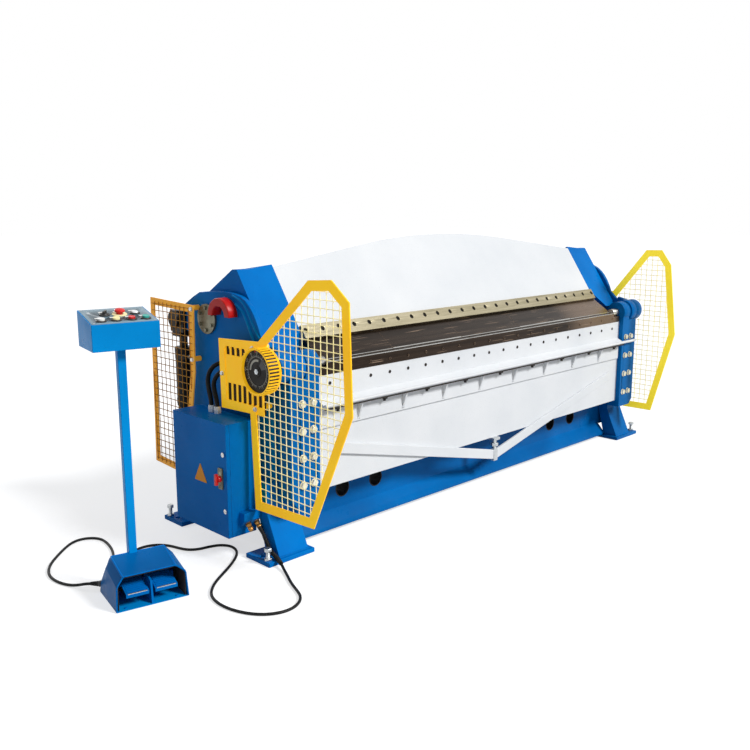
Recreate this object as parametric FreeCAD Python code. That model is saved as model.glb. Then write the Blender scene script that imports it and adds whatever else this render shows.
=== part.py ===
import FreeCAD, Part
import math
import os

# A powered plate folding machine, in millimetres. The origin is on the floor, in the middle of
# the four anchor holes. +X runs along the working length, to the right as the operator sees it,
# -Y points to the operator and +Z up. The machine is alike on both sides unless a line says so.

Vector = FreeCAD.Vector

# Half of the working length, and the line about which the folding beam swings
WORK_HALF = 1250.0
AXIS_Y = -372.0
AXIS_Z = 834.0

# Side frames: one thick plate each, with box legs and foot plates
PLATE_IN = 1400.0
PLATE_OUT = 1424.0
LEG_IN = 1311.0
LEG_OUT = 1472.0
FOOT_OUT = 1540.0
FOOT_THICK = 20.0
FRONT_FOOT = (-413.0, -248.0)
REAR_FOOT = (253.0, 409.0)
ANCHOR_X = 1512.0
ANCHOR_Y = 330.0
ANCHOR_R = 11.0
LEVEL_X = 1522.0
LEVEL_Y = 380.0
LEVEL_R = 10.0
NOSE_R = 62.0
BOSS_R = 68.0
BOSS_OUT = 1470.0

# Trunnions and the actuators that turn them
TRUNNION_R = 22.0
TRUNNION_IN = 1195.0
BUSH_R = 30.0
ACTUATOR_R = 68.0
ACTUATOR_IN = 1345.0
DIAL_X = 1540.0
DIAL_R = 88.0
FIT = 0.05

# Clamping beam and its pivots
CLAMP_Y = 145.0
CLAMP_Z = 990.0
LEAN = math.radians(34.0)
FACE_TOP = (-50.0, 1210.0)
FACE_LOW = 912.0
CLAMP_HALF = 1196.0
CLAMP_END_OUT = 1396.0
END_TOP = (1232.0, 1218.0)
CROWN_RISE = 116.0
CROWN_HALF = 600.0
FACE_THICK = 20.0
PIVOT_R = 30.0
PIVOT_DISC_R = 68.0
BLADE_HALF = 1194.0
BLADE_BACK = AXIS_Y - 0.5
BLADE_SEAMS = (-1194.0, -750.0, -250.0, 250.0, 750.0, 1194.0)
CLAMP_PIN_Y = 425.0
CLAMP_PIN_Z = 965.0
CLAMP_PIN_R = 17.5
CYLINDER_X = 1380.0
CYLINDER_R = 42.0
BRACKET_TOP = 500.0

# Folding beam
BEAM_HALF = 1262.0
BEAM_FRONT = -398.0
BEAM_REAR = -330.0
BEAM_LOW = 270.0
BEAM_HIGH = 777.0
ARM_IN = 1262.0
EAR_OUT = 1336.0
ARM_FRONT = -425.0
ARM_REAR = -340.0
ARM_LOW = 230.0
PAD_SEAT_R = 71.0
ARM_BOLT_X = (1300.0, 1360.0)
ARM_BOLT_Z = (678.0, 560.0, 442.0, 324.0)
ARM_BOLT_R = 9.0
LEDGE_Z = 640.0
LEDGE_DEEP = 46.0
LEDGE_BAR_END = 1380.0
GUSSET_PITCH = 290.0
TRUSS_END = (1150.0, 445.0)
TRUSS_LOW = 172.0

# Guards: outlines as (y, z) corners in the plane of the mesh
GUARD_BAR = 40.0
REAR_BAR = 34.0
GUARD_THICK = 6.0
WIRE = 4.0
MESH_PITCH = 41.0
LEFT_GUARD_X = -1497.0
RIGHT_GUARD_X = 1452.0
REAR_GUARD_X = 1466.0
LEFT_GUARD = [(-45, 931), (-324, 945), (-643, 1215), (-772, 1224), (-868, 1148), (-883, 724),
              (-656, 230), (-278, 216), (-259, 634), (-53, 627)]
LEFT_SHEET = [(-45, 931), (-324, 945), (-350, 945), (-350, 634), (-259, 634), (-53, 627)]
RIGHT_GUARD = [(-60, 931), (-236, 943), (-454, 1216), (-557, 1219), (-622, 1131), (-676, 700),
               (-545, 196), (-350, 194), (-350, 400), (-259, 634), (-60, 627)]
REAR_GUARD = [(190, 1050), (555, 1062), (575, 246), (330, 232), (227, 579), (196, 744)]
RING_OUT = 95.5
RING_IN = 90.0

# Electric cabinet on the left frame
CAB_X = (-1620.0, -1475.0)
CAB_Y = (-242.0, 156.0)
CAB_Z = (104.0, 600.0)
CAB_WALL = 2.0
DOOR_THICK = 18.0
DOOR_GAP = 1.0
SWITCH_Y = -200.0
SWITCH_Z = 362.0
SWITCH_R = 8.0

# Control post, turned a little towards the operator's left
POST_X = -2196.0
POST_Y = -335.0
POST_TURN = -12.0
POST_AT = (113.0, 150.0)
POST_SIZE = 32.0
CONSOLE_X = (-5.0, 247.0)
CONSOLE_Y = (85.0, 276.0)
CONSOLE_Z = (972.0, 1071.0, 1107.0)
HOOD_SECTIONS = [(0.0, [(0, 3), (5, 101), (30, 138), (234, 138), (272, 106), (280, 3)]),
                 (142.0, [(0, 3), (5, 126), (28, 170), (238, 170), (272, 132), (280, 3)]),
                 (222.0, [(0, 3), (5, 40), (18, 60), (262, 60), (275, 40), (280, 3)])]
HOOD_WALL = 3.0
CABLE_D = 12.0


def block(x0, y0, z0, x1, y1, z1):
    """A box between two corners given in any order."""
    low = Vector(min(x0, x1), min(y0, y1), min(z0, z1))
    return Part.makeBox(abs(x1 - x0), abs(y1 - y0), abs(z1 - z0), low)


def rod(start, end, radius):
    """A round bar from one point to another."""
    a = Vector(*start)
    run = Vector(*end) - a
    return Part.makeCylinder(radius, run.Length, a, run)


def slab(outline, x0, x1):
    """A (y, z) outline made solid between two X planes."""
    points = [Vector(min(x0, x1), y, z) for y, z in outline]
    face = Part.Face(Part.makePolygon(points + points[:1]))
    return face.extrude(Vector(abs(x1 - x0), 0, 0))


def joined(shapes):
    """Several touching solids as one."""
    first = shapes[0]
    return first.multiFuse(shapes[1:]).removeSplitter() if len(shapes) > 1 else first


def group(shapes):
    """Separate solids kept in one node."""
    return Part.makeCompound(shapes)


def mirrored(shape):
    """The same piece on the other end of the machine."""
    return shape.mirror(Vector(0, 0, 0), Vector(1, 0, 0))


def both(shape):
    """A piece and its mirror image as two solids."""
    return group([mirrored(shape), shape])


def face_y(z):
    """Where the leaning face of the clamping beam is at a height."""
    return FACE_TOP[0] - (FACE_TOP[1] - z) * math.tan(LEAN)


def on_face(z, proud=0.0):
    """A point of the leaning face, or this far in front of it."""
    return face_y(z) - proud * math.cos(LEAN), z + proud * math.sin(LEAN)


# Side frames

PLATE_OUTLINE = [(-395, 20), (-318, 190), (-318, 690), (-345, 790), (-332, 893), (-285, 906),
                 (-240, 948), (-227, 981), (-208, 1017), (-188, 1046), (-165, 1071),
                 (-138, 1092), (-106, 1107), (-70, 1115), (-30, 1120), (14, 1122), (75, 1120),
                 (130, 1114), (200, 1106), (240, 1090), (300, 1030), (300, 200), (390, 20),
                 (262, 20), (190, 200), (-180, 200), (-262, 20)]
FRONT_LEG = [(-395, 20), (-318, 190), (-318, 330), (-254, 330), (-254, 190), (-300, 20)]
REAR_LEG = [(390, 20), (300, 200), (300, 330), (236, 330), (236, 200), (298, 20)]


def side_frame():
    """The right side frame: plate, nose, legs and foot plates in one weldment."""
    nose = Part.makeCylinder(NOSE_R, PLATE_OUT - PLATE_IN, Vector(PLATE_IN, AXIS_Y, AXIS_Z),
                             Vector(1, 0, 0))
    web = slab([(-372, 772), (-300, 740), (-300, 915), (-372, 896)], PLATE_IN, PLATE_OUT)
    pieces = [slab(PLATE_OUTLINE, PLATE_IN, PLATE_OUT), nose, web]
    pieces += [slab(FRONT_LEG, LEG_IN, LEG_OUT), slab(REAR_LEG, LEG_IN, LEG_OUT)]
    for low, high in (FRONT_FOOT, REAR_FOOT):
        pieces.append(block(1290, low, 0, FOOT_OUT, high, FOOT_THICK))
    pieces.append(rod((PLATE_IN, AXIS_Y, AXIS_Z), (BOSS_OUT, AXIS_Y, AXIS_Z), BOSS_R - 2))
    pieces.append(block(1330, 360, BRACKET_TOP - 30, PLATE_OUT, 480, BRACKET_TOP))
    pieces.append(block(PLATE_IN, 298, BRACKET_TOP - 60, PLATE_OUT, 480, BRACKET_TOP))
    frame = joined(pieces)
    holes = [rod((PLATE_IN - 5, AXIS_Y, AXIS_Z), (BOSS_OUT + 5, AXIS_Y, AXIS_Z), BUSH_R),
             rod((PLATE_IN - 5, CLAMP_Y, CLAMP_Z), (PLATE_OUT + 5, CLAMP_Y, CLAMP_Z),
                 PIVOT_R + FIT)]
    for y in (-ANCHOR_Y, ANCHOR_Y):
        holes.append(rod((ANCHOR_X, y, -5), (ANCHOR_X, y, FOOT_THICK + 5), ANCHOR_R))
    for y in (-LEVEL_Y, LEVEL_Y):
        holes.append(rod((LEVEL_X, y, -5), (LEVEL_X, y, FOOT_THICK + 5), LEVEL_R))
    return frame.cut(group(holes))


def levelling_bolts():
    """Four upright screws, each with its head and lock nut."""
    bolts = []
    for x in (-LEVEL_X, LEVEL_X):
        for y in (-LEVEL_Y, LEVEL_Y):
            shank = rod((x, y, 0), (x, y, 66), LEVEL_R - 0.3)
            nut = hexagon((x, y, FOOT_THICK), (x, y, FOOT_THICK + 12), 17)
            head = hexagon((x, y, 62), (x, y, 76), 17)
            bolts.append(joined([shank, nut, head]))
    return group(bolts)


def hexagon(start, end, corner):
    """A hexagonal prism along one of the axes."""
    a = Vector(*start)
    run = Vector(*end) - a
    side = Vector(0, 0, 1) if abs(run.z) < abs(run.x) + abs(run.y) else Vector(1, 0, 0)
    turn = FreeCAD.Rotation(run, 60)
    points = [a + side * corner]
    for _ in range(5):
        points.append(a + turn.multVec(points[-1] - a))
    return Part.Face(Part.makePolygon(points + points[:1])).extrude(run)


def base_beam():
    """The low front beam between the legs, its lower flange leaning forward, with cable holes."""
    web = block(-PLATE_IN, -252, 80, PLATE_IN, -238, 300)
    flange = slab([(-238, 100), (-252, 100), (-252, 92), (-306, 34), (-306, 20), (-292, 20),
                   (-238, 78)], -LEG_IN, LEG_IN)
    shelf = block(-LEG_IN, -252, 286, LEG_IN, -150, 300)
    beam = joined([web, flange, shelf])
    holes = [rod((x, -260, 182), (x, -230, 182), 40) for x in (-975, -754, 754, 975)]
    return beam.cut(group(holes))


def bed_beam():
    """The box beam that carries the sheet, with end plates that meet the side frames."""
    outer = block(-1256, -322, 330, 1256, -60, 790)
    inner = block(-1240, -302, 350, 1240, -80, 770)
    ends = []
    for side in (-1, 1):
        ends.append(block(side * 1240, -290, 330, side * PLATE_IN, -60, 760))
    ribs = [block(x - 6, -302, 350, x + 6, -80, 770) for x in (-750, -250, 250, 750)]
    return joined([outer.cut(inner)] + ribs + ends)


def lower_tool():
    """The steel blade on the front edge of the bed."""
    section = [(AXIS_Y + 1.0, AXIS_Z), (-290, AXIS_Z), (-290, 790), (-322, 790), (-322, 782),
               (AXIS_Y + 1.0, 782)]
    return slab(section, -BLADE_HALF + 2, BLADE_HALF - 2)


def rear_tie():
    """The rear beam between the frames and the two rails that carry the oil tank."""
    tie = block(-PLATE_IN, 200, 430, PLATE_IN, 290, 560)
    low = block(-PLATE_IN, 150, 210, PLATE_IN, 230, 286)
    rails = [block(x - 30, -238, 246, x + 30, 150, 286) for x in (-330, 330)]
    return group([tie, low] + rails)


def pivot_bushes():
    """Bronze bushes of the two trunnions, pressed into the plates."""
    outer = rod((PLATE_IN, AXIS_Y, AXIS_Z), (BOSS_OUT + 6, AXIS_Y, AXIS_Z), BUSH_R)
    collar = rod((BOSS_OUT, AXIS_Y, AXIS_Z), (BOSS_OUT + 6, AXIS_Y, AXIS_Z), BUSH_R + 8)
    bore = rod((PLATE_IN - 5, AXIS_Y, AXIS_Z), (BOSS_OUT + 15, AXIS_Y, AXIS_Z),
               TRUNNION_R + FIT)
    return both(joined([outer, collar]).cut(bore))


def swing_actuators():
    """Vane motor housings in the noses, which turn the trunnions with oil pressure."""
    body = rod((ACTUATOR_IN, AXIS_Y, AXIS_Z), (PLATE_IN, AXIS_Y, AXIS_Z), ACTUATOR_R)
    chamber = rod((ACTUATOR_IN + 10, AXIS_Y, AXIS_Z), (PLATE_IN + 5, AXIS_Y, AXIS_Z),
                  ACTUATOR_R - 12)
    bore = rod((ACTUATOR_IN - 5, AXIS_Y, AXIS_Z), (PLATE_IN + 5, AXIS_Y, AXIS_Z),
               TRUNNION_R + FIT)
    return both(body.cut(chamber).cut(bore))


def swing_vanes():
    """The rotors on the trunnions: a hub with two vanes."""
    x0 = ACTUATOR_IN + 11
    x1 = PLATE_IN - 2
    hub = rod((x0, AXIS_Y, AXIS_Z), (x1, AXIS_Y, AXIS_Z), 34)
    tip = ACTUATOR_R - 14
    vane = block(x0, AXIS_Y - 6, AXIS_Z - tip, x1, AXIS_Y + 6, AXIS_Z + tip)
    bore = rod((x0 - 5, AXIS_Y, AXIS_Z), (x1 + 5, AXIS_Y, AXIS_Z), TRUNNION_R)
    return both(joined([hub, vane]).cut(bore))


# Clamping beam

def crown(x):
    """Height of the top edge of the leaning face at a place along the machine."""
    reach = CLAMP_HALF - 6
    edge_slope = CROWN_RISE / (reach - CROWN_HALF / 2)
    if abs(x) >= CROWN_HALF:
        return FACE_TOP[1] + 12 + edge_slope * (reach - abs(x))
    top = FACE_TOP[1] + 12 + CROWN_RISE
    return top - edge_slope * x * x / (2 * CROWN_HALF)


def leaning(x, z, behind=0.0):
    """A point on the leaning face, or this far behind it, square to the face."""
    return Vector(x, face_y(z) + behind * math.cos(LEAN), z - behind * math.sin(LEAN))


def clamp_beam():
    """The white face with its arched top, and the three-sided box behind it."""
    ends = [leaning(-CLAMP_HALF, FACE_LOW), leaning(-CLAMP_HALF, crown(CLAMP_HALF))]
    knees = [leaning(-CROWN_HALF, crown(CROWN_HALF)), leaning(CROWN_HALF, crown(CROWN_HALF))]
    right = [leaning(CLAMP_HALF, crown(CLAMP_HALF)), leaning(CLAMP_HALF, FACE_LOW)]
    arch = Part.Arc(knees[0], leaning(0, crown(0)), knees[1]).toShape()
    edges = [Part.makeLine(ends[0], ends[1]), Part.makeLine(ends[1], knees[0]), arch,
             Part.makeLine(knees[1], right[0]), Part.makeLine(right[0], right[1]),
             Part.makeLine(right[1], ends[0])]
    back = leaning(0, FACE_LOW, FACE_THICK) - leaning(0, FACE_LOW)
    face = Part.Face(Part.Wire(edges)).extrude(back)
    outer = [on_face(FACE_LOW, -FACE_THICK), (-224, 872), (60, 872), (60, 900), (-25, 1205),
             (-45, 1200)]
    inner = [(-190, 892), (40, 892), (40, 902), (-45, 1165)]
    box = slab(outer, -CLAMP_HALF, CLAMP_HALF).cut(slab(inner, -CLAMP_HALF + 16, CLAMP_HALF - 16))
    ribs = [slab([(60, 900), (-25, 1205), (10, 1205), (110, 900)], x - 8, x + 8)
            for x in (-900, -540, -180, 180, 540, 900)]
    return group([joined([face, box])] + ribs)


def hole_strip():
    """The bar that clamps the blade segments, with a row of bolt holes."""
    high = FACE_LOW + 54
    corners = [on_face(FACE_LOW), on_face(high), on_face(high, 14), on_face(FACE_LOW, 14)]
    strip = slab(corners, -BLADE_HALF, BLADE_HALF)
    holes = []
    for k in range(25):
        x = 98 * (k - 12)
        y, z = on_face(944, 20)
        holes.append(Part.makeCylinder(12, 16, Vector(x, y, z),
                                       Vector(0, math.cos(LEAN), -math.sin(LEAN))))
    return strip.cut(group(holes))


def upper_blades():
    """Five wedge-shaped blade segments with narrow seams."""
    section = [(AXIS_Y + 3, AXIS_Z + 1.5), on_face(FACE_LOW), on_face(FACE_LOW, -FACE_THICK),
               (-224, 872), (-224, 850), (-262, AXIS_Z + 1.5)]
    blades = []
    for left, right in zip(BLADE_SEAMS, BLADE_SEAMS[1:]):
        blades.append(slab(section, left + 0.6, right - 0.6))
    return group(blades)


LOBE_R = 44.0


def clamp_end():
    """The right end box of the clamping beam, reaching back to the clamp cylinder."""
    x0 = CLAMP_HALF
    x1 = CLAMP_END_OUT
    top = (face_y(END_TOP[0]), END_TOP[0])
    outer = slab([(-286, 862), top, (174, 1107), (247, 1102), (300, 1078),
                  (CLAMP_PIN_Y, CLAMP_PIN_Z + LOBE_R), (CLAMP_PIN_Y, CLAMP_PIN_Z - LOBE_R),
                  (300, 900), (-120, 862)], x0, x1)
    lobe = rod((x0, CLAMP_PIN_Y, CLAMP_PIN_Z), (x1, CLAMP_PIN_Y, CLAMP_PIN_Z), LOBE_R)
    far_lobe = rod((x0, CLAMP_PIN_Y + 12, CLAMP_PIN_Z), (x1, CLAMP_PIN_Y + 12, CLAMP_PIN_Z),
                   LOBE_R)
    inner = slab([(-196, 880), (-196, 935), (-45, 1180), (160, 1085), (235, 1080), (274, 1060),
                  (274, 922), (-112, 880)], x0 + 16, x1 - 20)
    corner = [Vector(x0 - 1, -330, 960), Vector(x0 - 1, -330, 850), Vector(x0 + 104, -330, 850)]
    notch = Part.Face(Part.makePolygon(corner + corner[:1])).extrude(Vector(0, 104, 0))
    waist = block(x0 - 5, 290, 850, x1 - 50, 500, 1120)
    slope = Part.Face(Part.makePolygon([Vector(x0 - 1, -200, END_TOP[0]),
                                        Vector(x1 - 66, -200, END_TOP[1]),
                                        Vector(x1 + 1, -200, END_TOP[1]),
                                        Vector(x1 + 1, -200, END_TOP[0] + 20),
                                        Vector(x0 - 1, -200, END_TOP[0] + 20),
                                        Vector(x0 - 1, -200, END_TOP[0])]))
    body = joined([outer, lobe, far_lobe]).cut(inner).cut(waist).cut(notch)
    body = body.cut(slope.extrude(Vector(0, 300, 0)))
    boss = rod((x0 + 10, CLAMP_Y, CLAMP_Z), (x1, CLAMP_Y, CLAMP_Z), 62)
    body = joined([body, boss])
    bore = rod((x0 - 5, CLAMP_Y, CLAMP_Z), (x1 + 5, CLAMP_Y, CLAMP_Z), PIVOT_R + FIT)
    slot_r = CLAMP_PIN_R + 2.0
    slot = [rod((x1 - 60, y, CLAMP_PIN_Z), (x1 + 5, y, CLAMP_PIN_Z), slot_r)
            for y in (CLAMP_PIN_Y, CLAMP_PIN_Y + 9)]
    middle = block(x1 - 60, CLAMP_PIN_Y, CLAMP_PIN_Z - slot_r, x1 + 5, CLAMP_PIN_Y + 9,
                   CLAMP_PIN_Z + slot_r)
    return body.cut(bore).cut(joined(slot + [middle]))


def clamp_pivots():
    """Pins on which the clamping beam turns, with a broad disc head outside."""
    pin = rod((CLAMP_HALF + 4, CLAMP_Y, CLAMP_Z), (PLATE_OUT, CLAMP_Y, CLAMP_Z), PIVOT_R)
    disc = rod((PLATE_OUT, CLAMP_Y, CLAMP_Z), (PLATE_OUT + 12, CLAMP_Y, CLAMP_Z), PIVOT_DISC_R)
    bolts = []
    for k in range(6):
        turn = math.radians(60 * k + 30)
        y = CLAMP_Y + 50 * math.cos(turn)
        z = CLAMP_Z + 50 * math.sin(turn)
        bolts.append(hexagon((PLATE_OUT + 12, y, z), (PLATE_OUT + 20, y, z), 9))
    return both(joined([pin, disc] + bolts))


def lifting_lugs():
    """Red hooks for the crane sling, welded to the outside of the frames."""
    x0 = PLATE_OUT
    x1 = PLATE_OUT + 50
    y, z = -5, 1018
    arch = rod((x0, y, z), (x1, y, z), 80).cut(rod((x0 - 5, y, z), (x1 + 5, y, z), 44))
    return both(arch.cut(block(x0 - 5, y - 100, z - 100, x1 + 5, y + 100, z)))


def clamp_cylinders():
    """Barrels of the two clamp cylinders, standing on the brackets of the frames."""
    x, y = CYLINDER_X, CLAMP_PIN_Y
    base = rod((x, y, BRACKET_TOP), (x, y, 540), CYLINDER_R - 4)
    barrel = rod((x, y, 540), (x, y, 800), CYLINDER_R)
    cap = rod((x, y, 800), (x, y, 826), CYLINDER_R + 2)
    bore = rod((x, y, 560), (x, y, 840), 20 + FIT)
    return both(joined([base, barrel, cap]).cut(bore))


def clamp_rods():
    """Piston rods with a fork and the pin that lifts the end box."""
    x, y, z = CYLINDER_X, CLAMP_PIN_Y, CLAMP_PIN_Z
    shaft = rod((x, y, 640), (x, y, z - 70), 20)
    foot = block(1330, y - 30, z - 85, 1420, y + 30, z - 62)
    cheeks = [block(a, y - 62, z - 62, b, y + 46, z + 40) for a, b in ((1330, 1341), (1402, 1420))]
    pin = rod((1330, y, z), (1436, y, z), CLAMP_PIN_R)
    head = rod((1420, y, z), (1436, y, z), 40)
    return both(joined([shaft, foot] + cheeks + [pin, head]))


# Folding beam

def folding_beam():
    """The white body that swings: a box with wings behind the arms and saddles for the pins."""
    outer = block(-BEAM_HALF, BEAM_FRONT, BEAM_LOW, BEAM_HALF, BEAM_REAR, BEAM_HIGH)
    inner = block(-1234, BEAM_FRONT + 22, BEAM_LOW + 16, 1234, BEAM_REAR - 10, BEAM_HIGH - 16)
    ribs = [block(x - 6, BEAM_FRONT + 22, BEAM_LOW + 16, x + 6, BEAM_REAR - 10, BEAM_HIGH - 16)
            for x in (-870, -435, 0, 435, 870)]
    body = joined([outer.cut(inner)] + ribs)
    wings = []
    for side in (-1, 1):
        wings.append(block(side * 1234, ARM_REAR, 300, side * 1396, ARM_REAR + 14, 720))
        wings.append(block(side * 1196, BLADE_BACK, BEAM_HIGH, side * WORK_HALF, -345, 822))
    body = joined([body] + wings)
    holes = [rod((x, BEAM_FRONT - 5, 738), (x, BEAM_FRONT + 15, 738), 6) for x in hole_places()]
    for side in (-1, 1):
        x0 = side * TRUNNION_IN
        holes.append(rod((x0, AXIS_Y, AXIS_Z), (side * ARM_IN, AXIS_Y, AXIS_Z), TRUNNION_R))
        for z in ARM_BOLT_Z:
            for x in ARM_BOLT_X:
                holes.append(rod((side * x, ARM_REAR - 5, z), (side * x, ARM_REAR + 30, z),
                                 ARM_BOLT_R + 0.3))
    return body.cut(group(holes))


def hole_places():
    """Places of the twenty tapped holes along the top of the folding beam."""
    return [-1178 + 124 * k for k in range(20)]


def fold_blade():
    """The bare steel bar that bends the sheet, low at its ends to pass under the trunnions."""
    under = AXIS_Z - TRUNNION_R - 0.5
    middle = block(3 - TRUNNION_IN, BEAM_FRONT - 2, BEAM_HIGH, TRUNNION_IN - 3, BLADE_BACK, AXIS_Z)
    ends = block(4 - ARM_IN, BEAM_FRONT - 2, BEAM_HIGH, ARM_IN - 4, BLADE_BACK, under)
    return joined([middle, ends])


def blade_screws():
    """Heads of the screws that hold the folding blade."""
    front = BEAM_FRONT - 2
    return group([rod((x, front, 800), (x, front - 5, 800), 9) for x in hole_places()])


def fold_ledge():
    """The ledge on the folding beam: band, angle, gussets and the round bar at its edge."""
    front = BEAM_FRONT
    lip = front - LEDGE_DEEP
    band = block(-WORK_HALF, front - 10, 545, WORK_HALF, front, LEDGE_Z)
    top = slab([(front, LEDGE_Z + 34), (front, LEDGE_Z), (lip, LEDGE_Z), (lip, LEDGE_Z + 10)],
               -WORK_HALF, WORK_HALF)
    bar = rod((-WORK_HALF, lip - 4, LEDGE_Z + 12), (LEDGE_BAR_END, lip - 4, LEDGE_Z + 12), 8)
    gussets = []
    for k in range(-4, 4):
        x = (k + 0.5) * GUSSET_PITCH
        gussets.append(slab([(front - 8, LEDGE_Z), (lip + 4, LEDGE_Z), (front - 8, 548)],
                            x - 5, x + 5))
    return joined([band, top, bar] + gussets)


def ledge_nuts():
    """Nine black nuts on studs under the ledge."""
    nuts = []
    for k in range(-4, 5):
        x = k * GUSSET_PITCH
        y = BEAM_FRONT - 30
        nut = hexagon((x, y, LEDGE_Z - 24), (x, y, LEDGE_Z), 16)
        stud = rod((x, y, LEDGE_Z - 38), (x, y, LEDGE_Z - 24), 8)
        nuts.append(joined([nut, stud]))
    return group(nuts)


def truss_bars():
    """Two flat bars that brace the folding beam, meeting below its middle."""
    deep = 52.0
    y0 = BEAM_FRONT - 14
    bars = []
    for side in (-1, 1):
        x1, z1 = side * TRUSS_END[0], TRUSS_END[1]
        points = [Vector(side * 16, y0, TRUSS_LOW - 20), Vector(side * 16, y0, TRUSS_LOW + 32),
                  Vector(x1, y0, z1 + deep / 2), Vector(x1, y0, z1 - deep / 2)]
        face = Part.Face(Part.makePolygon(points + points[:1]))
        bars.append(face.extrude(Vector(0, 14, 0)))
    return group(bars)


def king_post():
    """The post that pushes the truss away from the beam, with its nut."""
    foot = block(-16, BEAM_FRONT - 16, TRUSS_LOW - 30, 16, BEAM_FRONT + 6, TRUSS_LOW + 40)
    post = rod((0, BEAM_FRONT - 5, TRUSS_LOW + 40), (0, BEAM_FRONT - 5, BEAM_LOW - 14), 10)
    seat = block(-26, BEAM_FRONT - 22, BEAM_LOW - 14, 26, BEAM_FRONT + 20, BEAM_LOW)
    nut = hexagon((0, BEAM_FRONT - 5, 222), (0, BEAM_FRONT - 5, 240), 20)
    return joined([foot, post, seat, nut])


def fold_arm():
    """The right folding arm: an ear on the trunnion and a thick pad that carries the beam."""
    ear = block(ARM_IN, ARM_FRONT, ARM_LOW, EAR_OUT, ARM_REAR, AXIS_Z - 20)
    eye = rod((ARM_IN, AXIS_Y, AXIS_Z), (EAR_OUT, AXIS_Y, AXIS_Z), NOSE_R)
    seat_low = AXIS_Z - PAD_SEAT_R
    pad = slab([(ARM_FRONT, ARM_LOW), (ARM_FRONT, AXIS_Z - 46), (AXIS_Y, AXIS_Z - 46),
                (AXIS_Y, seat_low), (ARM_REAR, seat_low - 18), (ARM_REAR, ARM_LOW)],
               EAR_OUT, PLATE_OUT)
    pad = pad.cut(rod((EAR_OUT - 5, AXIS_Y, AXIS_Z), (PLATE_OUT + 5, AXIS_Y, AXIS_Z), PAD_SEAT_R))
    cut_low = Part.Face(Part.makePolygon([Vector(PLATE_OUT - 32, ARM_FRONT - 5, ARM_LOW - 1),
                                          Vector(PLATE_OUT + 1, ARM_FRONT - 5, ARM_LOW - 1),
                                          Vector(PLATE_OUT + 1, ARM_FRONT - 5, ARM_LOW + 34),
                                          Vector(PLATE_OUT - 32, ARM_FRONT - 5, ARM_LOW - 1)]))
    arm = joined([ear, eye, pad]).cut(cut_low.extrude(Vector(0, 200, 0)))
    holes = [rod((ARM_IN - 5, AXIS_Y, AXIS_Z), (EAR_OUT + 5, AXIS_Y, AXIS_Z), TRUNNION_R)]
    for z in ARM_BOLT_Z:
        for x in ARM_BOLT_X:
            holes.append(rod((x, ARM_FRONT - 5, z), (x, ARM_REAR + 5, z), ARM_BOLT_R + 0.3))
    return arm.cut(group(holes))


def arm_bolts():
    """Eight bolts in each arm."""
    bolts = []
    for side in (-1, 1):
        for z in ARM_BOLT_Z:
            for x in ARM_BOLT_X:
                head = hexagon((side * x, ARM_FRONT - 14, z), (side * x, ARM_FRONT, z), 16)
                shank = rod((side * x, ARM_FRONT, z), (side * x, ARM_REAR + 14, z), ARM_BOLT_R)
                bolts.append(joined([head, shank]))
    return group(bolts)


def trunnions():
    """The two steel pins on which the folding beam swings; the left one carries the dial."""
    left = rod((-TRUNNION_IN, AXIS_Y, AXIS_Z), (-DIAL_X, AXIS_Y, AXIS_Z), TRUNNION_R)
    right = rod((TRUNNION_IN, AXIS_Y, AXIS_Z), (BOSS_OUT + 10, AXIS_Y, AXIS_Z), TRUNNION_R)
    return group([left, right])


def angle_dial():
    """The disc that shows the folding angle."""
    disc = rod((-DIAL_X, AXIS_Y, AXIS_Z), (-DIAL_X - 6, AXIS_Y, AXIS_Z), DIAL_R)
    screw = rod((-DIAL_X - 6, AXIS_Y, AXIS_Z), (-DIAL_X - 11, AXIS_Y, AXIS_Z), 8)
    return joined([disc, screw])


# Guards

def plane_face(outline, x):
    """A flat face at an X plane from (y, z) corners."""
    points = [Vector(x, y, z) for y, z in outline]
    return Part.Face(Part.makePolygon(points + points[:1]))


def bar_frame(outline, x, wide=GUARD_BAR):
    """Flat bars along an outline."""
    face = plane_face(outline, x)
    inside = face.makeOffset2D(-wide, 2)
    return face.cut(inside).extrude(Vector(GUARD_THICK, 0, 0))


def standoff(x_guard, y, z):
    """A spacer from the frame plate to a guard."""
    side = -1 if x_guard < 0 else 1
    return rod((side * PLATE_OUT, y, z), (x_guard, y, z), 12)


def front_guard_left():
    """Frame, slotted sheet, ring round the dial and spacers."""
    x = LEFT_GUARD_X - GUARD_THICK
    frame = bar_frame(LEFT_GUARD, x)
    sheet = plane_face(LEFT_SHEET, x + 3).extrude(Vector(3, 0, 0))
    disc = plane_disc(x + 3, RING_OUT, 3)
    slots = []
    for k in range(5):
        y = -96 - 36 * k
        slots.append(block(x - 5, y, 867, x + 20, y - 24, 904))
    for k in range(7):
        y = -101 - 35.5 * k
        slots.append(block(x - 5, y, 669, x + 20, y - 24, 745))
    tube = rod((-1558, AXIS_Y, AXIS_Z), (x + 6, AXIS_Y, AXIS_Z), RING_OUT)
    hole = rod((-1570, AXIS_Y, AXIS_Z), (x + 20, AXIS_Y, AXIS_Z), RING_IN)
    plate = joined([joined([frame, sheet]).cut(group(slots)), disc, tube]).cut(hole)
    places = ((-66, 780), (-296, 662), (-286, 912))
    return joined([plate] + [standoff(LEFT_GUARD_X, y, z) for y, z in places])


def plane_disc(x, radius, thick):
    """A round plate on the swing axis."""
    return rod((x, AXIS_Y, AXIS_Z), (x + thick, AXIS_Y, AXIS_Z), radius)


def front_guard_right():
    """Frame and spacers of the right guard."""
    frame = bar_frame(RIGHT_GUARD, RIGHT_GUARD_X)
    places = ((-80, 780), (-294, 600), (-210, 920))
    return joined([frame] + [standoff(RIGHT_GUARD_X, y, z) for y, z in places])


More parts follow.
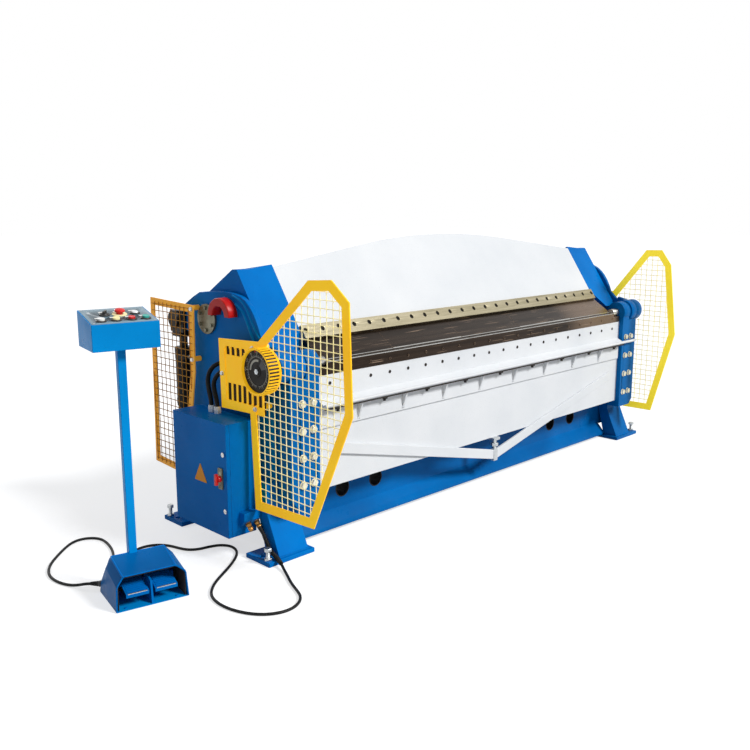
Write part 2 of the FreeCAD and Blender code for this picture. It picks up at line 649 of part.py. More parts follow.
def mesh(outline, x, bar, clear, keep_out=None):
    """A net of wires as one plate with square gaps, cut out round the swing axis."""
    face = plane_face(outline, x).makeOffset2D(-12, 2)
    inside = plane_face(outline, x).makeOffset2D(-bar - 1, 2)
    if keep_out is not None:
        face = face.cut(plane_face(keep_out, x))
        inside = inside.cut(plane_face(keep_out, x).makeOffset2D(6, 2))
    centre = Vector(x, AXIS_Y, AXIS_Z)
    rim = Part.makeCircle(clear + 6, centre, Vector(1, 0, 0))
    inside = inside.cut(Part.Face(Part.Wire(rim)))
    box = face.BoundBox
    gaps = []
    side = MESH_PITCH - WIRE
    for i in range(int(box.YLength / MESH_PITCH) + 1):
        for j in range(int(box.ZLength / MESH_PITCH) + 1):
            y = box.YMin + WIRE + i * MESH_PITCH
            z = box.ZMin + WIRE + j * MESH_PITCH
            corners = [(y, z), (y + side, z), (y + side, z + side), (y, z + side)]
            if all(inside.isInside(Vector(x, *c), 0.01, True) for c in corners):
                gaps.append(plane_face(corners, x))
    net = face.cut(group(gaps)).extrude(Vector(WIRE, 0, 0))
    print("mesh gaps", len(gaps))
    return net.cut(rod((x - 5, AXIS_Y, AXIS_Z), (x + 10, AXIS_Y, AXIS_Z), clear))


def rear_guard_frames():
    """Frames of the two rear guards with their spacers."""
    frame = bar_frame(REAR_GUARD, REAR_GUARD_X, REAR_BAR)
    places = ((219, 1036), (221, 800))
    return both(joined([frame] + [standoff(REAR_GUARD_X, y, z) for y, z in places]))


# Electric cabinet

def cabinet_shell():
    """The cabinet without its door, on two brackets."""
    x0 = CAB_X[0] + DOOR_THICK + DOOR_GAP
    outer = block(x0, CAB_Y[0], CAB_Z[0], CAB_X[1], CAB_Y[1], CAB_Z[1])
    inner = block(x0 - 5, CAB_Y[0] + CAB_WALL, CAB_Z[0] + CAB_WALL, CAB_X[1] - CAB_WALL,
                  CAB_Y[1] - CAB_WALL, CAB_Z[1] - CAB_WALL)
    brackets = [block(CAB_X[1], -150, z, -PLATE_OUT, 60, z + 40) for z in (300, 520)]
    y = CAB_Y[0]
    entry = slab([(y, 208), (y - 34, 208), (y - 34, 172), (y, 138)], -1562, -1475)
    return joined([outer.cut(inner), entry] + brackets)


def cabinet_door():
    """The door on the end of the cabinet, with a folded rim."""
    x0 = CAB_X[0]
    x1 = x0 + DOOR_THICK
    outer = block(x0, CAB_Y[0], CAB_Z[0], x1, CAB_Y[1], CAB_Z[1])
    inner = block(x0 + 2, CAB_Y[0] + 14, CAB_Z[0] + 14, x1 + 5, CAB_Y[1] - 14, CAB_Z[1] - 14)
    lock = rod((x0 - 4, -222, 470), (x0, -222, 470), 9)
    return joined([outer.cut(inner), lock])


def cabinet_hinges():
    """Two hinge barrels at the rear edge of the cabinet."""
    barrels = []
    for z in (180, 500):
        leaf = block(CAB_X[0] + DOOR_THICK + DOOR_GAP, CAB_Y[1], z, -1585, CAB_Y[1] + 3, z + 50)
        pin = rod((CAB_X[0] + DOOR_THICK + 4, CAB_Y[1] + 5, z),
                  (CAB_X[0] + DOOR_THICK + 4, CAB_Y[1] + 5, z + 50), 5)
        barrels.append(joined([leaf, pin]))
    return group(barrels)


def door_plates():
    """The amber triangle, left bare, and the grey plate of the main switch."""
    x = CAB_X[0]
    corners = [(-47, 398), (-94, 316), (0, 316)]
    triangle = slab(corners, x - 1.5, x)
    plate = block(x - 6, SWITCH_Y - 16, SWITCH_Z - 46, x, SWITCH_Y + 16, SWITCH_Z + 46)
    bore = rod((x - 10, SWITCH_Y, SWITCH_Z), (x + 5, SWITCH_Y, SWITCH_Z), SWITCH_R)
    return group([triangle, plate.cut(bore)])


def switch_handle():
    """The red handle of the main switch."""
    x = CAB_X[0] - 6.5
    hub = rod((x, SWITCH_Y, SWITCH_Z), (x - 14, SWITCH_Y, SWITCH_Z), 14)
    grip = block(x - 26, SWITCH_Y - 5, SWITCH_Z - 24, x - 12, SWITCH_Y + 5, SWITCH_Z + 24)
    spindle = rod((x - 2, SWITCH_Y, SWITCH_Z), (x + 6, SWITCH_Y, SWITCH_Z), SWITCH_R - FIT)
    return joined([hub, grip, spindle])


TOP_GLANDS = ((-1516.0, 6.0), (-1516.0, -38.0))
TOP_GLAND_HIGH = 24.0
ENTRY_GLANDS = (-1532.0, -1487.0)
ENTRY_GLAND_LONG = 34.0
HOOD_REAR = HOOD_SECTIONS[-1][0]
HOOD_GLAND_X = (80.0, 180.0)
HOOD_GLAND_Z = 22.0
HOOD_GLAND_OUT = 28.0
SIDE_GLAND = (0.9, 252.3)


def cable_glands():
    """Glands of the conduits and the cables, on the cabinet and on the foot switch."""
    glands = []
    for x, y in TOP_GLANDS:
        nut = hexagon((x, y, CAB_Z[1]), (x, y, CAB_Z[1] + 12), 16)
        neck = rod((x, y, CAB_Z[1] + 12), (x, y, CAB_Z[1] + TOP_GLAND_HIGH), 13)
        glands.append(joined([nut, neck]))
    run = Vector(0, -1, -1).normalize()
    for x in ENTRY_GLANDS:
        start = Vector(x, CAB_Y[0] - 17, 155)
        nut = Part.makeCylinder(12, 14, start, run)
        neck = Part.makeCylinder(9, ENTRY_GLAND_LONG, start, run)
        glands.append(joined([nut, neck]))
    for x in HOOD_GLAND_X:
        z = HOOD_GLAND_Z
        nut = rod((x, HOOD_REAR, z), (x, HOOD_REAR + 12, z), 13)
        neck = rod((x, HOOD_REAR, z), (x, HOOD_REAR + HOOD_GLAND_OUT, z), 9)
        glands.append(placed(joined([nut, neck])))
    glands.append(side_gland())
    return group(glands)


def side_gland():
    """The gland at the rear left corner of the foot switch, turned half outward."""
    boss = block(8, HOOD_REAR, HOOD_GLAND_Z - 13, 52, HOOD_REAR + 14, HOOD_GLAND_Z + 13)
    x, y = SIDE_GLAND
    neck = rod((x, y, HOOD_GLAND_Z), (x + 28, y - 18.2, HOOD_GLAND_Z), 9)
    return placed(joined([boss, neck]))


def tube_path(route, diameter, name, least=0.45):
    """A cable along a route: straight runs joined by arcs as large as the runs allow."""
    points = [Vector(*p) for p in route]
    edges = []
    start = points[0]
    radii = []
    for before, here, after in zip(points, points[1:], points[2:]):
        back = before - here
        ahead = after - here
        turn = math.pi - back.getAngle(ahead)
        cut = least * min(back.Length, ahead.Length)
        radii.append(cut / math.tan(turn / 2))
        first = here + back.normalize() * cut
        last = here + ahead.normalize() * cut
        middle = (back + ahead).normalize()
        depth = radii[-1] / math.cos(turn / 2) - radii[-1]
        edges.append(Part.LineSegment(start, first).toShape())
        edges.append(Part.Arc(first, here + middle * depth, last).toShape())
        start = last
    edges.append(Part.LineSegment(start, points[-1]).toShape())
    path = Part.Wire(edges)
    ring = Part.Wire(Part.makeCircle(diameter / 2, points[0], points[1] - points[0]))
    tube = path.makePipeShell([ring], True, False)
    full = math.pi * diameter ** 2 / 4 * path.Length
    print(name, "length", round(path.Length), "volume ratio", round(tube.Volume / full, 4),
          "radii", [round(r) for r in radii])
    return tube


CONDUIT_D = 22.0
CONDUIT_A = [(-1516, 6, 624), (-1516, 6, 652), (-1508, 36, 696), (-1496, 60, 742), (-1478, 52, 786),
             (-1452, 30, 806), (-1424, 30, 806)]
CONDUIT_B = [(-1516, -38, 624), (-1516, -38, 650), (-1510, -12, 688), (-1500, 10, 726),
             (-1482, 4, 762), (-1452, -14, 780), (-1424, -14, 780)]


def cabinet_conduits():
    """Two black conduits from the cabinet up into the side frame."""
    return group([tube_path(CONDUIT_A, CONDUIT_D, "conduit a"),
                  tube_path(CONDUIT_B, CONDUIT_D, "conduit b")])


# Hydraulic unit

def oil_tank():
    """The oil tank on its rails, with a filler neck."""
    tank = block(-420, -40, 286, 420, 190, 420).cut(block(-416, -36, 290, 416, 186, 419))
    lid = block(-430, -50, 420, 430, 196, 430)
    neck = rod((-350, 150, 430), (-350, 150, 458), 26)
    return joined([tank, lid, neck])


def pump_motor():
    """The electric motor lying on the tank, with the pump at its end."""
    axis_z = 540
    body = rod((-260, 70, axis_z), (60, 70, axis_z), 92)
    shield = rod((-300, 70, axis_z), (-260, 70, axis_z), 86)
    flange = rod((60, 70, axis_z), (84, 70, axis_z), 96)
    pump = rod((84, 70, axis_z), (190, 70, axis_z), 58)
    feet = block(-220, 10, 430, 20, 130, 470)
    crate = block(-180, -60, axis_z - 40, -40, -10, axis_z + 50)
    return joined([body, shield, flange, pump, feet, crate])


def valve_block():
    """The block of valves beside the pump."""
    base = block(230, 0, 430, 380, 130, 500)
    valves = [block(240 + 48 * k, 20, 500, 276 + 48 * k, 110, 560) for k in range(3)]
    coils = [rod((258 + 48 * k, -30, 530), (258 + 48 * k, 20, 530), 17) for k in range(3)]
    return joined([base] + valves + coils)


# Control post

def placed(shape):
    """A piece of the control post moved from its own frame to the machine's."""
    turned = shape.copy()
    turned.rotate(Vector(0, 0, 0), Vector(0, 0, 1), POST_TURN)
    turned.translate(Vector(POST_X, POST_Y, 0))
    return turned


def console_slope():
    """Angle of the console's top panel."""
    return math.atan2(CONSOLE_Z[2] - CONSOLE_Z[1], CONSOLE_Y[1] - CONSOLE_Y[0])


def console_box():
    """The console: a sheet box whose top slopes up to the rear, with holes for the controls."""
    section = [(CONSOLE_Y[0], CONSOLE_Z[0]), (CONSOLE_Y[0], CONSOLE_Z[1]),
               (CONSOLE_Y[1], CONSOLE_Z[2]), (CONSOLE_Y[1], CONSOLE_Z[0])]
    outer = slab(section, *CONSOLE_X)
    wall = 3
    inside = [(CONSOLE_Y[0] + wall, CONSOLE_Z[0] + wall),
              (CONSOLE_Y[0] + wall, CONSOLE_Z[1] - wall),
              (CONSOLE_Y[1] - wall, CONSOLE_Z[2] - wall - 1),
              (CONSOLE_Y[1] - wall, CONSOLE_Z[0] + wall)]
    box = outer.cut(slab(inside, CONSOLE_X[0] + wall, CONSOLE_X[1] - wall))
    return placed(box.cut(group([control_bore(*place) for place in CONTROLS.values()])))


CONTROLS = {"selector_knob": (74, 0.56), "estop_button": (130, 0.56), "pilot_lamp": (188, 0.56),
            "fold_button": (42, 0.2), "return_button": (97, 0.2), "clamp_button": (154, 0.2),
            "start_button": (207, 0.2)}
CONTROL_BORE = 11.0


def panel_point(x, part, above):
    """A point over the console's top, this part of the way back and this far above it."""
    slope = console_slope()
    y = CONSOLE_Y[0] + part * (CONSOLE_Y[1] - CONSOLE_Y[0])
    z = CONSOLE_Z[1] + part * (CONSOLE_Z[2] - CONSOLE_Z[1])
    return Vector(x, y - above * math.sin(slope), z + above * math.cos(slope))


def panel_rod(x, part, low, high, radius):
    """A round piece square to the console's top."""
    a = panel_point(x, part, low)
    run = panel_point(x, part, high) - a
    return Part.makeCylinder(radius, run.Length, a, run)


def control_bore(x, part):
    """The hole that a control sits in."""
    return panel_rod(x, part, -15, 10, CONTROL_BORE)


def push_button(name):
    """A flush push button with its stem."""
    x, part = CONTROLS[name]
    cap = panel_rod(x, part, 5.5, 13, 13)
    stem = panel_rod(x, part, -14, 5.5, CONTROL_BORE - 0.05)
    return placed(joined([cap, stem]))


def estop_button():
    """The red mushroom head of the emergency stop."""
    x, part = CONTROLS["estop_button"]
    head = panel_rod(x, part, 12, 24, 20)
    neck = panel_rod(x, part, 4, 12, 14)
    stem = panel_rod(x, part, -20, 4, CONTROL_BORE - 0.05)
    return placed(joined([head, neck, stem]))


def selector_knob():
    """The black selector with a raised grip."""
    x, part = CONTROLS["selector_knob"]
    disc = panel_rod(x, part, 1, 9, 14)
    stem = panel_rod(x, part, -14, 1, CONTROL_BORE - 0.05)
    grip = block(x - 4, -13, 0, x + 4, 13, 9)
    grip.rotate(Vector(x, 0, 0), Vector(1, 0, 0), math.degrees(console_slope()))
    grip.translate(panel_point(x, part, 8) - Vector(x, 0, 0))
    return placed(joined([disc, stem, grip]))


def pilot_lamp():
    """The white lamp."""
    x, part = CONTROLS["pilot_lamp"]
    return placed(joined([panel_rod(x, part, 0, 11, 13),
                          panel_rod(x, part, -14, 0, CONTROL_BORE)]))


def console_post():
    """The square post on its heavy base plate."""
    x, y = POST_AT
    half = POST_SIZE / 2
    base = block(0, 0, 0, 280, HOOD_REAR, 3)
    tube = block(x - half, y - half, 3, x + half, y + half, CONSOLE_Z[0])
    hollow = block(x - half + 3, y - half + 3, 8, x + half - 3, y + half - 3, CONSOLE_Z[0] + 5)
    return placed(joined([base, tube.cut(hollow)]))


def foot_hood():
    """The folded hood over the two pedals, open to the front, with a notch for the post."""
    def shell(wall, sections):
        wires = []
        for y, points in sections:
            corners = []
            for x, z in points:
                inset = wall if x < 140 else -wall
                corners.append(Vector(x + inset, y, z - wall if z > 3 else z - wall / 3))
            wires.append(Part.makePolygon(corners + corners[:1]))
        return Part.makeLoft(wires, True, True)
    (y0, front), (y1, top), (y2, rear) = HOOD_SECTIONS
    outer = shell(0, HOOD_SECTIONS)
    hollow = shell(HOOD_WALL, [(y0 - 2, front), (y1 - HOOD_WALL, top), (y2 - 12, rear)])
    x, y = POST_AT
    half = POST_SIZE / 2 + 0.5
    notch = block(x - half, y - half, 0, x + half, y + half, 200)
    return placed(outer.cut(hollow).cut(notch))


PEDAL_PIN_Y = 110.0
PEDAL_PIN_Z = 64.0


def pedal(x0, x1):
    """A foot pedal, hinged at its rear on the pedal pin."""
    y1 = PEDAL_PIN_Y
    plate = slab([(6, 54), (6, 61), (y1, 92), (y1, 85)], x0, x1)
    lip = slab([(6, 46), (6, 61), (12, 62), (12, 46)], x0, x1)
    ears = [slab([(y1 - 26, 80), (y1, 87), (y1 + 9, 72), (y1 + 9, PEDAL_PIN_Z - 9),
                  (y1 - 9, PEDAL_PIN_Z - 9)], a, a + 5) for a in (x0 + 3, x1 - 8)]
    bore = rod((x0 - 5, y1, PEDAL_PIN_Z), (x1 + 5, y1, PEDAL_PIN_Z), 4 + FIT)
    return placed(joined([plate, lip] + ears).cut(bore))


def pedal_pin():
    """The pin of both pedals on three stands."""
    y, z = PEDAL_PIN_Y, PEDAL_PIN_Z
    pin = rod((26, y, z), (254, y, z), 4)
    stands = [block(x, y - 10, 3, x + 6, y + 10, z + 10) for x in (24, 137, 250)]
    divider = slab([(4, 3), (14, 92), (60, 104), (80, 104), (y - 10, 3)], 136, 144)
    return placed(joined([pin] + stands + [divider]))


def on_post(x, y, z=HOOD_GLAND_Z):
    """A point of the control post's own frame in the machine's frame."""
    turn = math.radians(POST_TURN)
    return (POST_X + x * math.cos(turn) - y * math.sin(turn),
            POST_Y + x * math.sin(turn) + y * math.cos(turn), z)


ENTRY_END = ENTRY_GLAND_LONG / math.sqrt(2)
GLAND_TIP = HOOD_REAR + HOOD_GLAND_OUT
CONTROL_CABLE = [(ENTRY_GLANDS[1], CAB_Y[0] - 17 - ENTRY_END, 155 - ENTRY_END),
                 (ENTRY_GLANDS[1], -309, 105), (-1488, -333, 70), (-1490, -363, 42),
                 (-1494, -403, 33), (-1504, -446, 20), (-1521, -488, 8.4), (-1542, -533, 6.8),
                 (-1565, -576, 6.8), (-1586, -622, 6.8), (-1604, -670, 6.8), (-1626, -718, 6.8),
                 (-1664, -755, 6.8), (-1714, -775, 6.8), (-1768, -770, 6.8), (-1817, -742, 6.8),
                 (-1853, -698, 6.8), (-1877, -642, 6.8), (-1888, -584, 6.8), (-1886, -526, 6.8),
                 (-1870, -470, 6.8), (-1837, -424, 6.8), (-1792, -382, 6.8), (-1737, -344, 6.8),
                 (-1678, -306, 6.8), (-1617, -262, 6.8), (-1564, -216, 6.8), (-1530, -166, 6.8),
                 (-1522, -113, 6.8), (-1549, -70, 6.8), (-1596, -52, 6.8), (-1645, -44, 6.8),
                 (-1683, -16, 6.8), (-1700, 30, 6.8), (-1712, 78, 6.8), (-1738, 122, 6.8),
                 (-1780, 148, 6.8), (-1828, 150, 6.8), (-1874, 130, 6.8), (-1908, 94, 6.8),
                 (-1930, 48, 6.8), (-1942, -2, 6.8), (-1950, -44, 12),
                 on_post(180, GLAND_TIP + 44), on_post(180, GLAND_TIP)]
PEDAL_CABLE = [on_post(80, GLAND_TIP), on_post(80, GLAND_TIP + 44), (-2046, -14, 12),
               (-2024, 32, 6.8), (-1998, 76, 6.8), (-1968, 120, 6.8), (-1940, 166, 6.8),
               (-1918, 218, 6.8), (-1903, 270, 6.8), (-1893, 322, 6.8), (-1892, 372, 6.8),
               (-1918, 415, 6.8), (-1964, 433, 6.8), (-2013, 417, 6.8), (-2056, 383, 6.8),
               (-2099, 343, 6.8), (-2141, 301, 6.8), (-2180, 257, 6.8), (-2211, 208, 6.8),
               (-2231, 158, 6.8), (-2238, 106, 6.8), (-2233, 56, 6.8), (-2218, 8, 8),
               (-2199, -30, 14),
               on_post(SIDE_GLAND[0] - 37, SIDE_GLAND[1] + 24.1), on_post(*SIDE_GLAND)]


NODES = {
    "side_frame_left": lambda: mirrored(side_frame()),
    "side_frame_right": side_frame,
    "levelling_bolts": levelling_bolts,
    "base_beam": base_beam,
    "bed_beam": bed_beam,
    "lower_tool": lower_tool,
    "rear_tie": rear_tie,
    "trunnion_bushes": pivot_bushes,
    "swing_actuators": swing_actuators,
    "swing_vanes": swing_vanes,
    "clamp_beam": clamp_beam,
    "hole_strip": hole_strip,
    "upper_blades": upper_blades,
    "clamp_ends": lambda: both(clamp_end()),
    "clamp_pivots": clamp_pivots,
    "lifting_lugs": lifting_lugs,
    "clamp_cylinders": clamp_cylinders,
    "clamp_rods": clamp_rods,
    "folding_beam": folding_beam,
    "fold_blade": fold_blade,
    "blade_screws": blade_screws,
    "fold_ledge": fold_ledge,
    "ledge_nuts": ledge_nuts,
    "truss_bars": truss_bars,
    "king_post": king_post,
    "fold_arms": lambda: both(fold_arm()),
    "arm_bolts": arm_bolts,
    "trunnions": trunnions,
    "angle_dial": angle_dial,
    "front_guard_left": front_guard_left,
    "front_guard_right": front_guard_right,
    "mesh_front_left": lambda: mesh(LEFT_GUARD, LEFT_GUARD_X, GUARD_BAR, RING_OUT + 0.5,
                                    LEFT_SHEET),
    "mesh_front_right": lambda: mesh(RIGHT_GUARD, RIGHT_GUARD_X + GUARD_THICK, GUARD_BAR,
                                     BOSS_R + 6),
    "rear_guards": rear_guard_frames,
    "rear_meshes": lambda: both(mesh(REAR_GUARD, REAR_GUARD_X + GUARD_THICK, REAR_BAR, 1)),
    "cabinet_shell": cabinet_shell,
    "cabinet_door": cabinet_door,
    "cabinet_hinges": cabinet_hinges,
    "door_plates": door_plates,
    "switch_handle": switch_handle,
    "cable_glands": cable_glands,
    "cabinet_conduits": cabinet_conduits,
    "oil_tank": oil_tank,
    "pump_motor": pump_motor,
    "valve_block": valve_block,
    "console_box": console_box,
    "console_post": console_post,
    "selector_knob": selector_knob,
    "estop_button": estop_button,
    "pilot_lamp": pilot_lamp,
    "fold_button": lambda: push_button("fold_button"),
    "return_button": lambda: push_button("return_button"),
    "clamp_button": lambda: push_button("clamp_button"),
    "start_button": lambda: push_button("start_button"),
    "foot_hood": foot_hood,
    "pedal_left": lambda: pedal(40, 128),
    "pedal_right": lambda: pedal(152, 240),
    "pedal_pin": pedal_pin,
    "control_cable": lambda: tube_path(CONTROL_CABLE, CABLE_D, "control cable"),
    "pedal_cable": lambda: tube_path(PEDAL_CABLE, CABLE_D, "pedal cable"),
}

os.makedirs("parts", exist_ok=True)
for name, make in NODES.items():
    shape = make()
    if not shape.isValid():
        print("not valid:", name)
    shape.exportStep("parts/" + name + ".step")
print(len(NODES), "nodes")
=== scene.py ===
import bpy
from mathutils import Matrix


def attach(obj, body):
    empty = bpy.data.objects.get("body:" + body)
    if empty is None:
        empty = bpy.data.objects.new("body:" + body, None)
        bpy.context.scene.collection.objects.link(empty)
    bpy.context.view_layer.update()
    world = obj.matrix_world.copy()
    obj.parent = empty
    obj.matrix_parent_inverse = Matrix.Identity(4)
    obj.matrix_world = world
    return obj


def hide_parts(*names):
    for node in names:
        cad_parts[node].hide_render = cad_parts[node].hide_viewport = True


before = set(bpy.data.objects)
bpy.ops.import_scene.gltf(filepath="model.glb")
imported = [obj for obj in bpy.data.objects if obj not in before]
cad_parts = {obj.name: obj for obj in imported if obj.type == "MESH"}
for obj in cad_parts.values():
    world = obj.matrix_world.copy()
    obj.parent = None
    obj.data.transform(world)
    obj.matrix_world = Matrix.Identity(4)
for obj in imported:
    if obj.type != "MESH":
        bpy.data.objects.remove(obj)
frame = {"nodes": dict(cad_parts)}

"""The looks of a powered plate folding machine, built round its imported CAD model.

The camera and the two cables come first, then the finishes of the CAD nodes, then the detailed
pieces. The frame is that of the CAD model: +X along the working length, -Y towards the operator,
+Z up. Points and directions are vectors in metres; radii, heights and turned profiles are in
millimetres, and mm() turns millimetres into a vector.
"""

import logging
import math
from dataclasses import dataclass
from enum import Enum
from functools import cache

import bmesh
import bpy
from mathutils import Matrix, Vector
from mathutils.geometry import delaunay_2d_cdt

LOG = logging.getLogger("scene")
MM = 0.001
HOLE_SIDES = 24

Point = tuple[float, float, float]
Pair = tuple[float, float]

UP = Vector((0.0, 0.0, 1.0))
FRONT = Vector((0.0, -1.0, 0.0))
BACK = Vector((0.0, 1.0, 0.0))
LEFT = Vector((-1.0, 0.0, 0.0))
RIGHT = Vector((1.0, 0.0, 0.0))
SIDES = (-1, 1)


def mm(x: float, y: float, z: float) -> Vector:
    """Make a vector in metres from millimetres."""
    return Vector((x, y, z)) * MM


def tone(hex_code: str) -> tuple[float, float, float, float]:
    """Turn a colour as seen on screen into the linear colour that a shader takes.

    Args:
        hex_code: Six hexadecimal digits, red first.

    Returns:
        The linear red, green, blue and an alpha of one.
    """
    parts = [int(hex_code[i:i + 2], 16) / 255 for i in (0, 2, 4)]
    linear = [p / 12.92 if p <= 0.04045 else ((p + 0.055) / 1.055) ** 2.4 for p in parts]
    return (linear[0], linear[1], linear[2], 1.0)


class NodeGraph:
    """A thin layer over a material's node tree that keeps material recipes short."""

    def __init__(self, name: str) -> None:
        """Make an empty material with a surface shader.

        Args:
            name: The material's name.
        """
        self.material = bpy.data.materials.new(name)
        self.material.use_nodes = True
        self.tree = self.material.node_tree
        self.shader = self.tree.nodes["Principled BSDF"]
        self.place = self.add("ShaderNodeTexCoord").outputs["Object"]

    def add(self, kind: str, inputs: dict | None = None, **settings: object) -> bpy.types.Node:
        """Add a node.

        Args:
            kind: The node's type.
            inputs: Sockets or constants for its inputs, by name or number.
            **settings: Its plain properties.

        Returns:
            The new node.
        """
        node = self.tree.nodes.new(kind)
        for key, value in settings.items():
            setattr(node, key, value)
        self.feed(node, inputs or {})
        return node

    def feed(self, node: bpy.types.Node, inputs: dict) -> None:
        """Set or connect the inputs of a node.

        Args:
            node: The node.
            inputs: Sockets or constants, by the input's name or number.
        """
        for key, value in inputs.items():
            if isinstance(value, bpy.types.NodeSocket):
                self.tree.links.new(value, node.inputs[key])
            else:
                node.inputs[key].default_value = value

    def noise(self, scale: float, detail: float = 3.0, sizes: Point = (1, 1, 1),
              rough: float = 0.55) -> bpy.types.NodeSocket:
        """Smooth random values over the object.

        Args:
            scale: Cells per metre.
            detail: Octaves of finer noise.
            sizes: Stretch along each axis.
            rough: How strong the finer octaves are.

        Returns:
            Values about one half.
        """
        spot = self.add("ShaderNodeMapping", {"Vector": self.place, "Scale": sizes})
        return self.add("ShaderNodeTexNoise", {
            "Vector": spot.outputs["Vector"], "Scale": scale, "Detail": detail,
            "Roughness": rough}).outputs["Fac"]

    def remap(self, value: bpy.types.NodeSocket, low: float, high: float, out_low: float = 0.0,
              out_high: float = 1.0) -> bpy.types.NodeSocket:
        """Map a range of values onto another, held at its ends.

        Args:
            value: The values to map.
            low: What becomes out_low.
            high: What becomes out_high.
            out_low: The result at low.
            out_high: The result at high.

        Returns:
            The mapped values.
        """
        return self.add("ShaderNodeMapRange", {
            "Value": value, "From Min": low, "From Max": high, "To Min": out_low,
            "To Max": out_high}).outputs["Result"]

    def times(self, first: bpy.types.NodeSocket, second: object) -> bpy.types.NodeSocket:
        """Multiply a value by a socket or a number."""
        return self.add("ShaderNodeMath", {0: first, 1: second}, operation="MULTIPLY").outputs[0]

    def blend(self, share: object, first: object, second: object) -> bpy.types.NodeSocket:
        """Mix two colours, where share says how much there is of the second."""
        return self.add("ShaderNodeMix", {0: share, 6: first, 7: second},
                        data_type="RGBA").outputs[2]

    def edges(self, radius: float) -> bpy.types.NodeSocket:
        """Find sharp edges, where a surface wears first.

        Args:
            radius: How far the wear reaches from an edge.

        Returns:
            One at an edge and zero on a flat.
        """
        soft = self.add("ShaderNodeBevel", {"Radius": radius}, samples=4)
        true = self.add("ShaderNodeNewGeometry")
        dot = self.add("ShaderNodeVectorMath", {0: soft.outputs[0], 1: true.outputs["Normal"]},
                       operation="DOT_PRODUCT")
        return self.remap(dot.outputs["Value"], 0.985, 0.86)

    def bump(self, height: bpy.types.NodeSocket, strength: float, distance: float) -> None:
        """Give the shader a bumpy surface.

        Args:
            height: The height values.
            strength: How strong the effect is.
            distance: The height of a step from zero to one.
        """
        node = self.add("ShaderNodeBump", {"Strength": strength, "Distance": distance,
                                           "Height": height})
        self.feed(self.shader, {"Normal": node.outputs[0]})

    def finish(self, colour: object, rough: object, metal: float = 0.0,
               sheen: float = 0.5) -> bpy.types.Material:
        """Connect the main values and return the material.

        Args:
            colour: The base colour.
            rough: The roughness.
            metal: The metallic share.
            sheen: How strongly it mirrors its surroundings.

        Returns:
            The finished material.
        """
        self.feed(self.shader, {"Base Color": colour, "Roughness": rough, "Metallic": metal,
                                "Specular IOR Level": sheen})
        return self.material


@dataclass(frozen=True)
class Enamel:
    """One sprayed enamel.

    Attributes:
        name: The material's name.
        slot: The name of its material slot; not used here.
        fresh: Its colour where it is clean.
        tired: Its colour where it is dull.
        bare: What shows at worn edges.
        gloss: Its roughness where it is clean.
        wear: How much the edges are worn, from 0 to 1.
        painted_glow: How much it emits though it is no lamp: painted light on its shaded sides.
        sheen: How strongly it mirrors its surroundings.
    """

    name: str
    slot: str
    fresh: str
    tired: str
    bare: str
    gloss: float = 0.3
    wear: float = 0.5
    painted_glow: float = 0.0
    sheen: float = 0.2

    def material(self) -> bpy.types.Material:
        """Mix orange peel, dull patches, specks and worn edges, and add any painted light that the
        paint emits.

        Returns:
            The new material.
        """
        g = NodeGraph(self.name)
        bare = tone(self.bare)
        patches = g.remap(g.noise(2.2, 4), 0.38, 0.66)
        colour = g.blend(patches, tone(self.fresh), tone(self.tired))
        colour = g.blend(g.remap(g.noise(160, 2), 0.62, 0.74, 0, 0.16), colour, bare)
        chipped = g.remap(g.noise(46, 4), 0.44, 0.6)
        colour = g.blend(g.times(g.times(g.edges(0.003), chipped), self.wear), colour, bare)
        rough = g.remap(g.noise(9, 5), 0.3, 0.72, self.gloss, self.gloss + 0.16)
        g.bump(g.noise(210, 2), 0.16, 0.0009)
        # Painted light: the paint emits light though it is no lamp.
        if self.painted_glow:
            g.feed(g.shader, {"Emission Color": colour, "Emission Strength": self.painted_glow})
        return g.finish(colour, rough, 0.0, self.sheen)


@dataclass(frozen=True)
class Metal:
    """One bare or plated metal.

    Attributes:
        name: The material's name.
        slot: The name of its material slot; not used here.
        light: The colour of its bright streaks.
        dark: The colour of its dull parts.
        grain: Stretch of the grain along each axis.
        gloss: Roughness of the bright parts.
        dull: Roughness of the dull parts.
        contrast: How sharply streaks stand out.
        lines_and_highlight: The colour of a few thin polished streaks and of a broad painted
            highlight, or nothing.
    """

    name: str
    slot: str
    light: str
    dark: str
    grain: Point = (1, 1, 1)
    gloss: float = 0.22
    dull: float = 0.45
    contrast: float = 0.5
    lines_and_highlight: str = ""

    def material(self) -> bpy.types.Material:
        """Mix streaks along the grain, fine scratches, polished edges and a broad painted
        highlight.

        Returns:
            The new material.
        """
        g = NodeGraph(self.name)
        spread = 0.24 * (1.0 - 0.6 * self.contrast)
        streaks = g.remap(g.noise(6, 6, self.grain, 0.62), 0.5 - spread, 0.5 + spread)
        fine = g.remap(g.noise(60, 4, self.grain, 0.7), 0.35, 0.65)
        share = g.times(streaks, g.remap(fine, 0, 1, 0.55, 1))
        colour = g.blend(share, tone(self.dark), tone(self.light))
        if self.lines_and_highlight:
            # Painted highlight: a broad lighter band along the piece, then thin polished streaks.
            painted_highlight = g.remap(g.noise(0.9, 1, (1, 0.2, 0.2)), 0.48, 0.66, 0, 0.5)
            colour = g.blend(painted_highlight, colour, tone(self.lines_and_highlight))
            lines_and_highlight = g.remap(g.noise(42, 0, self.grain), 0.74, 0.77, 0, 0.4)
            colour = g.blend(lines_and_highlight, colour, tone(self.lines_and_highlight))
        colour = g.blend(g.times(g.edges(0.0016), 0.6), colour, tone(self.lines_and_highlight or self.light))
        rough = g.remap(share, 0, 1, self.dull, self.gloss)
        g.bump(g.noise(180, 3, self.grain), 0.2, 0.0006)
        return g.finish(colour, rough, 0.92)


